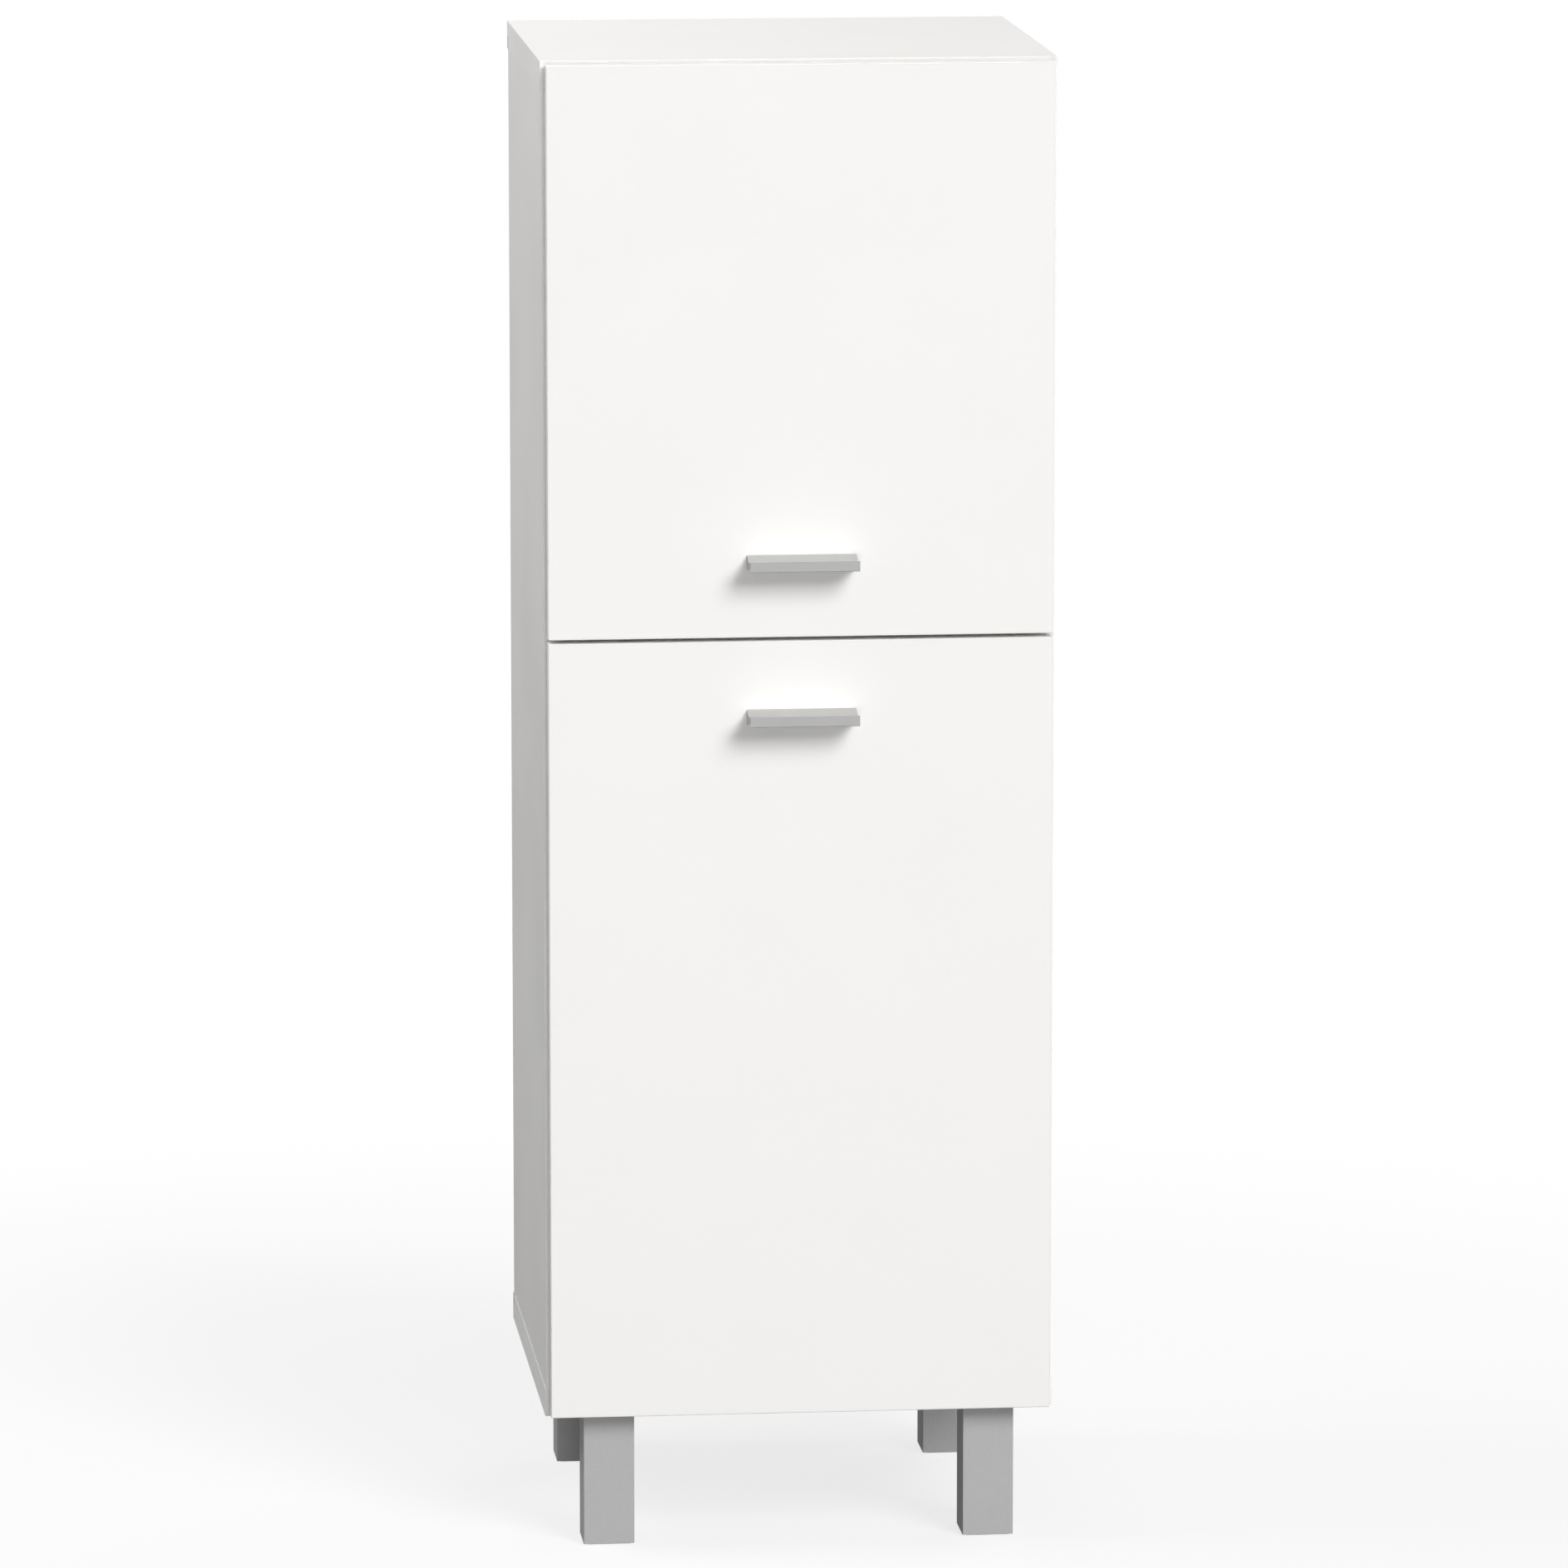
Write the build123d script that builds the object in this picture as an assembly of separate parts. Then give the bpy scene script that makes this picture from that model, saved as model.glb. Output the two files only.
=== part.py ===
from build123d import *
import os

# Tall cabinet on four square legs, with an upper and a lower door on single-pivot cup hinges.
# Lengths are millimetres. X runs to the right, the doors face -Y, and Z is up from the floor.
# The origin lies on the floor, in the middle of the overall box, handles included.

# Carcass
carcass_width = 400.0
carcass_depth = 350.0
carcass_height = 1065.0
cap_thickness = 22.0
side_thickness = 15.2
cap_overhang = 0.8
shelf_thickness = 16.0

# Back panel and the grooves that hold it
back_thickness = 3.0
groove_depth = 10.0
groove_play = 0.5
groove_end_play = 0.6
side_groove_depth = 6.0
rear_lip = 8.0

# Doors
door_thickness = 16.0
upper_door_height = 444.0
door_gap = 3.0
side_reveal = 3.5
end_reveal = 2.5
door_air = 3.0
door_edge_radius = 0.6
board_edge_radius = 0.4

# Handles
handle_length = 85.0
handle_projection = 29.9
handle_back_height = 11.6
handle_valley_out = 15.0
handle_valley_drop = 3.7
handle_lip_drop = 1.5
handle_lip_height = 8.1
handle_step_out = 19.3
handle_step_drop = 8.6
handle_lip_lean = 0.4
handle_edge_radius = 0.6
handle_valley_radius = 12.0
handle_hole_pitch = 64.0
handle_hole_depth = 9.0
handle_hole_drop = 6.2
upper_handle_rise = 64.4
lower_handle_drop = 53.3
handle_screw_radius = 2.0
handle_screw_head_radius = 4.0
handle_screw_head_height = 2.4
handle_screw_length = 24.0

# Shelves and their pins
fixed_shelf_recess = 1.0
shelf_front_recess = 14.0
shelf_rear_play = 2.0
shelf_side_play = 1.0
pin_hole_radius = 2.5
pin_hole_depth = 10.0
pin_row_pitch = 32.0
pin_rows_front = 37.0
pin_rows_rear = 50.0
pin_holes_each_way = 2
pin_play = 0.05
pin_head_radius = 4.0
pin_head_length = 8.0
upper_shelf_height = 201.0
lower_shelf_height = 285.0

# Knock-down fittings and dowels
dowel_radius = 4.0
dowel_length = 30.0
dowel_in_cap = 12.0
cam_radius = 7.5
cam_depth = 12.5
cam_cover = 4.0
cam_from_end = 24.0
cam_slot_width = 7.4
cam_driver_slot = 1.6
cam_driver_length = 10.5
bolt_thread_radius = 2.5
bolt_thread_length = 11.0
bolt_shaft_radius = 3.3
fitting_play = 0.1
fitting_inset = 50.0
dowel_from_fitting = 32.0

# Nails of the back panel
nail_radius = 0.8
nail_length = 18.0
nail_head_radius = 1.9
nail_head_height = 0.6
shelf_nail_spacing = 110.0

# Brackets that hold the cabinet to a wall
bracket_width = 32.0
bracket_reach = 30.0
bracket_drop = 34.0
bracket_thickness = 2.0
bracket_spacing = 240.0
wall_hole_radius = 3.0
wall_hole_drop = 22.0
back_hole_radius = 4.5
bracket_screw_pitch = 18.0

# Wood screws, shared by the brackets, the leg sockets and the hinges
wood_screw_radius = 1.75
wood_screw_head_radius = 3.5
wood_screw_head_height = 2.0
wood_screw_bite = 12.0
screw_play = 0.05

# Legs
leg_height = 105.0
leg_side = 40.0
leg_wall = 2.0
leg_edge_radius = 0.8
leg_inset = 30.0
leg_pitch = 276.0
glide_stand_off = 1.0
glide_height = 12.0
glide_play = 0.2
glide_edge = 1.0
socket_height = 14.0
socket_wall = 2.0
socket_plate = 3.0
socket_screw_pitch = 20.0

# Single-pivot cup hinges
hinge_inset = 90.0
cup_radius = 17.5
cup_depth = 12.5
cup_wall = 1.0
cup_edge_distance = 3.0
cup_play = 0.1
cup_flange_radius = 19.0
cup_flange_thickness = 1.0
cup_ear_radius = 5.5
cup_screw_pitch = 48.0
cup_screw_offset = 6.0
cup_block_gap = 10.0
cup_block_width = 4.2
cup_block_rise = 3.5
pivot_from_edge = 6.5
pivot_in_door = 7.5
pivot_radius = 1.0
pivot_length = 18.0
pivot_play = 0.05
eye_radius = 1.8
nose_width = 7.0
nose_thickness = 2.2
nose_leg_offset = 3.4
arm_height = 11.0
arm_lift = 4.2
arm_sheet = 1.4
arm_width = 17.0
arm_front = 4.0
arm_length = 58.0
arm_root_length = 6.0
plate_thickness = 4.0
plate_width = 16.0
plate_wing_span = 50.0
plate_wing_length = 16.0
plate_from_front = 37.0
plate_screw_pitch = 32.0
plate_rib_play = 0.2
plate_length = 44.0
clamp_screw_radius = 2.5
clamp_screw_head_radius = 4.2
clamp_screw_head_height = 2.0
clamp_screw_pitch = 22.0
clamp_screw_depth = 8.0

# Door buffers
buffer_radius = 4.0
buffer_air = 0.3
buffer_inset = 12.0

# Places worked out from the sizes above
overall_depth = carcass_depth + door_air + door_thickness + handle_projection
front_y = -overall_depth / 2 + handle_projection + door_thickness + door_air
rear_y = front_y + carcass_depth
door_back_y = front_y - door_air
door_front_y = door_back_y - door_thickness
base_z = leg_height
top_z = base_z + carcass_height
inside_low_z = base_z + cap_thickness
inside_high_z = top_z - cap_thickness
outer_x = carcass_width / 2
side_x = outer_x - cap_overhang
inner_x = side_x - side_thickness
groove_y = rear_y - rear_lip - back_thickness - groove_play
door_x = outer_x - side_reveal
lower_door_low_z = base_z + end_reveal
upper_door_high_z = top_z - end_reveal
upper_door_low_z = upper_door_high_z - upper_door_height
lower_door_high_z = upper_door_low_z - door_gap
fixed_shelf_z = (upper_door_low_z + lower_door_high_z - shelf_thickness) / 2
upper_shelf_z = fixed_shelf_z + shelf_thickness + upper_shelf_height
lower_shelf_z = inside_low_z + lower_shelf_height
pin_rows = (front_y + pin_rows_front, groove_y - pin_rows_rear)
fitting_rows = (front_y + fitting_inset, groove_y - fitting_inset)
pivot_x = door_x - pivot_from_edge
pivot_y = door_back_y - pivot_in_door
cup_x = door_x - cup_edge_distance - cup_radius
upper_hinge_heights = (upper_door_low_z + hinge_inset, upper_door_high_z - hinge_inset)
lower_hinge_heights = (lower_door_low_z + hinge_inset, lower_door_high_z - hinge_inset)


def block(low, high):
    """A box between its lowest and its highest corner."""
    size = [b - a for a, b in zip(low, high)]
    return Solid.make_box(*size, Plane(origin=low))


def rod(start, direction, radius, length):
    """A round rod that starts at a point and runs along a direction."""
    return Solid.make_cylinder(radius, length, Plane(origin=start, z_dir=direction))


def screw(seat, direction, radius, length, head_radius, head_height):
    """A screw whose head rests on its seat, with the shank running along a direction."""
    back = tuple(-d for d in direction)
    return rod(seat, direction, radius, length) + rod(seat, back, head_radius, head_height)


def wood_screw(seat, direction, grip):
    """A wood screw through a piece as thick as its grip, biting into the board behind."""
    return screw(seat, direction, wood_screw_radius, grip + wood_screw_bite,
                 wood_screw_head_radius, wood_screw_head_height)


def write(name, solids):
    """One named sub-part, as a single solid or a group of separate solids."""
    shape = solids[0] if len(solids) == 1 else Compound(solids)
    shape.label = name
    export_step(shape, f"parts/{name}.step")


def softened(panel, radius, axis):
    """A panel with its long edges rounded as an edge band leaves them."""
    return fillet(panel.edges().filter_by(axis), radius)


def corner_fittings(side, cap_face_z, into_cap):
    """Where one side panel meets a cap: starts of the bolts, of the dowels and of the cams."""
    x = side * (side_x - side_thickness / 2)
    bolts = [(x, y, cap_face_z) for y in fitting_rows]
    inward = (1, -1)
    dowels = [(x, y + s * dowel_from_fitting, cap_face_z) for y, s in zip(fitting_rows, inward)]
    cams = [(side * inner_x, y, cap_face_z - into_cap * cam_from_end) for y in fitting_rows]
    return bolts, dowels, cams


def cap_joints():
    """Every joint of a side panel with the top or the bottom panel."""
    for side in (-1, 1):
        for face_z, into_cap in ((inside_high_z, 1), (inside_low_z, -1)):
            yield side, face_z, into_cap


def cap_panel(low_z, groove_low_z, face_z, into_cap):
    """The top or the bottom panel, with its back groove and the holes of its joints."""
    panel = block((-outer_x, front_y, low_z), (outer_x, rear_y, low_z + cap_thickness))
    panel = fillet(panel.edges(), board_edge_radius)
    groove_high_y = groove_y + back_thickness + groove_play
    panel -= block((-outer_x, groove_y, groove_low_z),
                   (outer_x, groove_high_y, groove_low_z + groove_depth))
    up = (0, 0, into_cap)
    for side in (-1, 1):
        bolts, dowels, _ = corner_fittings(side, face_z, into_cap)
        for start in bolts:
            panel -= rod(start, up, bolt_thread_radius + screw_play, bolt_thread_length)
        for start in dowels:
            panel -= rod(start, up, dowel_radius + screw_play, dowel_in_cap)
    return panel


def top_panel():
    """The top, with pilot holes for the screws of the wall brackets."""
    panel = cap_panel(top_z - cap_thickness, inside_high_z, inside_high_z, 1)
    for seat in bracket_screw_seats():
        start = (seat[0], seat[1], inside_high_z)
        panel -= rod(start, (0, 0, 1), wood_screw_radius + screw_play, wood_screw_bite)
    return panel


def bottom_panel():
    """The bottom, with pilot holes for the screws of the leg sockets."""
    panel = cap_panel(base_z, inside_low_z - groove_depth, inside_low_z, -1)
    for x, y in socket_screw_places():
        panel -= rod((x, y, base_z), (0, 0, 1), wood_screw_radius + screw_play, wood_screw_bite)
    return panel


def shelf_pin_levels():
    """The underside heights of the shelf and its spare places above and below."""
    for shelf_z in (upper_shelf_z, lower_shelf_z):
        for step in range(-pin_holes_each_way, pin_holes_each_way + 1):
            yield shelf_z - pin_hole_radius + step * pin_row_pitch


def side_panel(side):
    """A side, grooved for the back and bored for caps, shelves and, on the right, hinge plates."""
    low = (min(side * inner_x, side * side_x), front_y, inside_low_z)
    high = (max(side * inner_x, side * side_x), rear_y, inside_high_z)
    panel = softened(block(low, high), board_edge_radius, Axis.Z)
    groove_x = side * (inner_x + side_groove_depth)
    groove_low = (min(side * inner_x, groove_x), groove_y, inside_low_z)
    groove_high = (max(side * inner_x, groove_x), groove_y + back_thickness + groove_play,
                   inside_high_z)
    panel -= block(groove_low, groove_high)
    outward = (side, 0, 0)
    for face_z, into_cap in ((inside_high_z, 1), (inside_low_z, -1)):
        bolts, dowels, cams = corner_fittings(side, face_z, into_cap)
        away = (0, 0, -into_cap)
        for start in bolts:
            panel -= rod(start, away, bolt_shaft_radius + fitting_play, cam_from_end)
        for start in dowels:
            panel -= rod(start, away, dowel_radius + screw_play, dowel_length - dowel_in_cap)
        for start in cams:
            panel -= rod(start, outward, cam_radius + fitting_play, cam_depth + fitting_play)
    for y in fitting_rows:
        start = (side * inner_x, y, fixed_shelf_z + shelf_thickness / 2)
        panel -= rod(start, outward, bolt_thread_radius + screw_play, bolt_thread_length)
    middle = (side * inner_x, sum(fitting_rows) / 2, fixed_shelf_z + shelf_thickness / 2)
    panel -= rod(middle, outward, dowel_radius + screw_play, dowel_in_cap)
    for z in shelf_pin_levels():
        for y in pin_rows:
            panel -= rod((side * inner_x, y, z), outward, pin_hole_radius, pin_hole_depth)
    if side > 0:
        for hinge_z in upper_hinge_heights + lower_hinge_heights:
            for seat in plate_screw_seats(hinge_z):
                start = (inner_x, seat[1], seat[2])
                panel -= rod(start, outward, wood_screw_radius + screw_play, wood_screw_bite)
    return panel


def shelf_nail_places():
    """The nails that run into the fixed shelf's rear edge."""
    z = fixed_shelf_z + shelf_thickness / 2
    return [(i * shelf_nail_spacing, z) for i in (-1, 0, 1)]


def back_panel():
    """A thin board that runs in the grooves of the sides, of the top and of the bottom."""
    reach = groove_depth - groove_end_play
    half = inner_x + side_groove_depth - groove_end_play
    low = (-half, groove_y, inside_low_z - reach)
    high = (half, groove_y + back_thickness, inside_high_z + reach)
    panel = block(low, high)
    for x, z in shelf_nail_places():
        panel -= rod((x, groove_y, z), (0, 1, 0), nail_radius + screw_play, back_thickness)
    for x in (-bracket_spacing / 2, bracket_spacing / 2):
        start = (x, groove_y, inside_high_z - wall_hole_drop)
        panel -= rod(start, (0, 1, 0), back_hole_radius, back_thickness)
    return panel


def back_nails():
    """Flat-headed nails through the back panel into the fixed shelf."""
    seat_y = groove_y + back_thickness
    return [screw((x, seat_y, z), (0, -1, 0), nail_radius, nail_length,
                  nail_head_radius, nail_head_height) for x, z in shelf_nail_places()]


def fixed_shelf():
    """The shelf behind the gap between the doors, drawn to the sides by cams beneath it."""
    low = (-inner_x, front_y + fixed_shelf_recess, fixed_shelf_z)
    high = (inner_x, groove_y, fixed_shelf_z + shelf_thickness)
    panel = softened(block(low, high), board_edge_radius, Axis.X)
    middle_z = fixed_shelf_z + shelf_thickness / 2
    middle_y = sum(fitting_rows) / 2
    for side in (-1, 1):
        inward = (-side, 0, 0)
        for y in fitting_rows:
            panel -= rod((side * inner_x, y, middle_z), inward,
                         bolt_shaft_radius + fitting_play, cam_from_end)
            panel -= rod((side * (inner_x - cam_from_end), y, fixed_shelf_z), (0, 0, 1),
                         cam_radius + fitting_play, cam_depth + fitting_play)
        panel -= rod((side * inner_x, middle_y, middle_z), inward,
                     dowel_radius + screw_play, dowel_length - dowel_in_cap)
    for x, z in shelf_nail_places():
        panel -= rod((x, groove_y, z), (0, -1, 0), nail_radius + screw_play,
                     nail_length - back_thickness)
    return panel


def loose_shelf(low_z):
    """An adjustable shelf lying on four pins."""
    half = inner_x - shelf_side_play
    low = (-half, front_y + shelf_front_recess, low_z)
    high = (half, groove_y - shelf_rear_play, low_z + shelf_thickness)
    return softened(block(low, high), board_edge_radius, Axis.X)


def shelf_pins(shelf_z):
    """Four pins with a round head under the shelf."""
    pins = []
    z = shelf_z - pin_hole_radius
    for side in (-1, 1):
        for y in pin_rows:
            face = (side * inner_x, y, z)
            peg = rod(face, (side, 0, 0), pin_hole_radius - pin_play, pin_hole_depth - pin_play)
            head = rod(face, (-side, 0, 0), pin_head_radius, pin_head_length)
            cut_low = (-outer_x, y - pin_head_radius, shelf_z)
            cut_high = (outer_x, y + pin_head_radius, shelf_z + pin_head_radius)
            pins.append(peg + (head - block(cut_low, cut_high)))
    return pins


def dowels():
    """Grooveless beech dowels of the corner joints and of the fixed shelf."""
    pegs = []
    for side, face_z, into_cap in cap_joints():
        _, starts, _ = corner_fittings(side, face_z, into_cap)
        for x, y, z in starts:
            low_z = z - into_cap * (dowel_length - dowel_in_cap)
            pegs.append(rod((x, y, low_z), (0, 0, into_cap), dowel_radius, dowel_length))
    middle_y = sum(fitting_rows) / 2
    middle_z = fixed_shelf_z + shelf_thickness / 2
    for side in (-1, 1):
        start = (side * (inner_x + dowel_in_cap), middle_y, middle_z)
        pegs.append(rod(start, (-side, 0, 0), dowel_radius, dowel_length))
    return pegs


def cam_bolt(face, into_board):
    """A bolt screwed into one board, its shaft reaching to the cam in the other."""
    back = tuple(-d for d in into_board)
    thread = rod(face, into_board, bolt_thread_radius, bolt_thread_length)
    return thread + rod(face, back, bolt_shaft_radius, cam_from_end)


def cam_bolts():
    """The bolts of the corner joints and of the fixed shelf."""
    bolts = []
    for side, face_z, into_cap in cap_joints():
        starts, _, _ = corner_fittings(side, face_z, into_cap)
        bolts += [cam_bolt(start, (0, 0, into_cap)) for start in starts]
    for side in (-1, 1):
        for y in fitting_rows:
            face = (side * inner_x, y, fixed_shelf_z + shelf_thickness / 2)
            bolts.append(cam_bolt(face, (side, 0, 0)))
    return bolts


def cam_lock(mouth, inward, toward_bolt):
    """A cam in its bore: a drum with a driver slot, open towards the bolt that it draws in."""
    plane = Plane(origin=mouth, x_dir=toward_bolt, z_dir=inward)
    drum = Solid.make_cylinder(cam_radius, cam_depth, plane)
    half = cam_slot_width / 2
    slot = Pos(half, 0, (cam_depth + cam_cover) / 2) * Box(
        2 * cam_radius, cam_slot_width, cam_depth - cam_cover)
    driver = Box(cam_driver_length, cam_driver_slot, cam_cover)
    return drum - plane.location * slot - plane.location * driver


def cam_locks():
    """The cams of the corner joints and of the fixed shelf."""
    cams = []
    for side, face_z, into_cap in cap_joints():
        _, _, mouths = corner_fittings(side, face_z, into_cap)
        cams += [cam_lock(m, (side, 0, 0), (0, 0, into_cap)) for m in mouths]
    for side in (-1, 1):
        for y in fitting_rows:
            mouth = (side * (inner_x - cam_from_end), y, fixed_shelf_z)
            cams.append(cam_lock(mouth, (0, 0, 1), (side, 0, 0)))
    return cams


def bracket_screw_seats():
    """The undersides of the brackets, where the heads of their screws rest."""
    y = groove_y - bracket_reach / 2
    z = inside_high_z - bracket_thickness
    for x in (-bracket_spacing / 2, bracket_spacing / 2):
        for s in (-1, 1):
            yield (x + s * bracket_screw_pitch / 2, y, z)


def wall_brackets():
    """Two angles under the top, each with a hole for a screw into the wall."""
    brackets = []
    for x in (-bracket_spacing / 2, bracket_spacing / 2):
        left = x - bracket_width / 2
        right = x + bracket_width / 2
        leg = block((left, groove_y - bracket_thickness, inside_high_z - bracket_drop),
                    (right, groove_y, inside_high_z))
        shelf = block((left, groove_y - bracket_reach, inside_high_z - bracket_thickness),
                      (right, groove_y, inside_high_z))
        angle = leg + shelf
        hole = (x, groove_y - bracket_thickness, inside_high_z - wall_hole_drop)
        angle -= rod(hole, (0, 1, 0), wall_hole_radius, bracket_thickness)
        brackets.append(angle)
    for i, seat in enumerate(bracket_screw_seats()):
        brackets[i // 2] -= rod(seat, (0, 0, 1), wood_screw_radius + screw_play,
                                bracket_thickness)
    return brackets


def bracket_screws():
    """The screws that hold the brackets under the top."""
    return [wood_screw(seat, (0, 0, 1), bracket_thickness) for seat in bracket_screw_seats()]


def leg_centres():
    """Name and centre of each leg, the front pair flush with the front of the carcass."""
    x = outer_x - leg_inset - leg_side / 2
    front = front_y + leg_side / 2
    for row, y in (("front", front), ("back", front + leg_pitch)):
        for side, centre_x in (("left", -x), ("right", x)):
            yield f"{row}_{side}_leg", centre_x, y


def square_column(x, y, low_z, high_z, side):
    """An upright square bar."""
    half = side / 2
    return block((x - half, y - half, low_z), (x + half, y + half, high_z))


def leg(x, y):
    """A square tube that slips over its socket and stands on its glide."""
    bar = square_column(x, y, glide_stand_off, base_z, leg_side)
    bar = fillet(bar.edges().filter_by(Axis.Z), leg_edge_radius)
    return bar - square_column(x, y, glide_stand_off, base_z, leg_side - 2 * leg_wall)


def leg_glide(x, y):
    """A plastic plug in the foot of a leg, standing a little proud of the tube."""
    side = leg_side - 2 * leg_wall - 2 * glide_play
    plug = square_column(x, y, 0, glide_height, side)
    return chamfer(plug.faces().sort_by(Axis.Z)[0].edges(), glide_edge)


def socket_screw_places():
    """Where the screws of the leg sockets stand, four to a leg."""
    for _, x, y in leg_centres():
        for sx in (-1, 1):
            for sy in (-1, 1):
                yield x + sx * socket_screw_pitch / 2, y + sy * socket_screw_pitch / 2


def leg_socket(x, y):
    """A cup screwed under the bottom panel, its wall hidden inside the leg."""
    side = leg_side - 2 * leg_wall - 2 * glide_play
    low_z = base_z - socket_height
    body = square_column(x, y, low_z, base_z, side)
    body -= square_column(x, y, low_z, base_z - socket_plate, side - 2 * socket_wall)
    for sx in (-1, 1):
        for sy in (-1, 1):
            start = (x + sx * socket_screw_pitch / 2, y + sy * socket_screw_pitch / 2,
                     base_z - socket_plate)
            body -= rod(start, (0, 0, 1), wood_screw_radius + screw_play, socket_plate)
    return body


def socket_screws():
    """The screws that hold the leg sockets."""
    seat_z = base_z - socket_plate
    return [wood_screw((x, y, seat_z), (0, 0, 1), socket_plate)
            for x, y in socket_screw_places()]


def cup_screw_seats(hinge_z):
    """Where the heads of one cup's screws rest on its ears."""
    x = cup_x - cup_screw_offset
    y = door_back_y + cup_flange_thickness
    return [(x, y, hinge_z + s * cup_screw_pitch / 2) for s in (-1, 1)]


def plate_screw_seats(hinge_z):
    """Where the heads of one mounting plate's screws rest on its wings."""
    x = inner_x - plate_thickness
    y = front_y + plate_from_front
    return [(x, y, hinge_z + s * plate_screw_pitch / 2) for s in (-1, 1)]


def clamp_screw_seats(hinge_z):
    """Where the heads of one arm's clamp screws rest on its web."""
    x = inner_x - arm_height
    y = front_y + arm_front + arm_length / 2
    return [(x, y + s * clamp_screw_pitch / 2, hinge_z) for s in (-1, 1)]


def door(low_z, high_z, hinge_heights, handle_z):
    """A door leaf, bored for its cups, their screws and its handle."""
    leaf = block((-door_x, door_front_y, low_z), (door_x, door_back_y, high_z))
    leaf = fillet(leaf.edges(), door_edge_radius)
    for hinge_z in hinge_heights:
        leaf -= rod((cup_x, door_back_y, hinge_z), (0, -1, 0),
                    cup_radius + cup_play, cup_depth + cup_play)
        for x, _, z in cup_screw_seats(hinge_z):
            leaf -= rod((x, door_back_y, z), (0, -1, 0),
                        wood_screw_radius + screw_play, wood_screw_bite)
    for x in (-handle_hole_pitch / 2, handle_hole_pitch / 2):
        start = (x, door_back_y, handle_z - handle_hole_drop)
        leaf -= rod(start, (0, -1, 0), handle_screw_radius + fitting_play, door_thickness)
    return leaf


def handle(handle_z):
    """A drawn bar with a finger valley along its top and a thick front lip."""
    lip_low = -handle_lip_drop - handle_lip_height
    outline = [
        (0, 0),
        (handle_valley_out, -handle_valley_drop),
        (handle_projection - handle_lip_lean, -handle_lip_drop),
        (handle_projection, lip_low),
        (handle_step_out, -handle_step_drop),
        (0, -handle_back_height),
    ]
    places = [(door_front_y - out, handle_z + drop) for out, drop in outline]
    section = Plane.YZ * make_face(Polyline(*places, close=True))
    bar = Pos(-handle_length / 2, 0, 0) * extrude(section, handle_length)
    along = bar.edges().filter_by(Axis.X)
    front = along.group_by(Axis.Y)[0]
    bar = fillet(front, handle_edge_radius)
    valley_y = door_front_y - handle_valley_out
    valley = bar.edges().filter_by(Axis.X).sort_by(lambda e: abs(e.center().Y - valley_y))[0]
    bar = fillet(valley, handle_valley_radius)
    for x in (-handle_hole_pitch / 2, handle_hole_pitch / 2):
        start = (x, door_front_y, handle_z - handle_hole_drop)
        bar -= rod(start, (0, -1, 0), handle_screw_radius + screw_play, handle_hole_depth)
    return bar


def handle_screws(handle_z):
    """Two screws through the door into the handle."""
    z = handle_z - handle_hole_drop
    return [screw((x, door_back_y, z), (0, -1, 0), handle_screw_radius, handle_screw_length,
                  handle_screw_head_radius, handle_screw_head_height)
            for x in (-handle_hole_pitch / 2, handle_hole_pitch / 2)]


def door_buffers(low_z, high_z):
    """Two clear buffers at the free edge of a door."""
    thickness = door_air - buffer_air
    x = -side_x + side_thickness / 2
    return [rod((x, door_back_y, z), (0, 1, 0), buffer_radius, thickness)
            for z in (low_z + buffer_inset, high_z - buffer_inset)]


def hinge_cup(hinge_z):
    """The steel cup: a shell with a flange and ears, and two blocks that hold the pivot."""
    bore = (cup_x, door_back_y, hinge_z)
    into_door = (0, -1, 0)
    shell = rod(bore, into_door, cup_radius, cup_depth)
    shell += rod(bore, (0, 1, 0), cup_flange_radius, cup_flange_thickness)
    ear_x = cup_x - cup_screw_offset
    for s in (-1, 1):
        ear_z = hinge_z + s * cup_screw_pitch / 2
        shell += rod((ear_x, door_back_y, ear_z), (0, 1, 0), cup_ear_radius,
                     cup_flange_thickness)
        low_z, high_z = sorted((hinge_z, ear_z))
        shell += block((ear_x - cup_ear_radius, door_back_y, low_z),
                       (ear_x + cup_ear_radius, door_back_y + cup_flange_thickness, high_z))
    mouth = (cup_x, door_back_y + cup_flange_thickness, hinge_z)
    shell -= rod(mouth, into_door, cup_radius - cup_wall,
                 cup_depth + cup_flange_thickness - cup_wall)
    drum = rod(bore, into_door, cup_radius, cup_depth)
    block_low_x = pivot_x - cup_block_rise
    for s in (-1, 1):
        near, far = sorted((s * cup_block_gap / 2, s * (cup_block_gap / 2 + cup_block_width)))
        bearing = block((block_low_x, door_back_y - cup_depth, hinge_z + near),
                        (door_x, pivot_y + cup_block_rise, hinge_z + far))
        shell += bearing & drum
    low = (pivot_x, pivot_y, hinge_z - pivot_length / 2)
    shell -= rod(low, (0, 0, 1), pivot_radius, pivot_length)
    for x, _, z in cup_screw_seats(hinge_z):
        shell -= rod((x, door_back_y, z), (0, 1, 0), wood_screw_radius + screw_play,
                     cup_flange_thickness)
    return shell


def pivot_pin(hinge_z):
    """The pin that the door turns on, held in the blocks of the cup."""
    return rod((pivot_x, pivot_y, hinge_z - pivot_length / 2), (0, 0, 1),
               pivot_radius, pivot_length)


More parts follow.
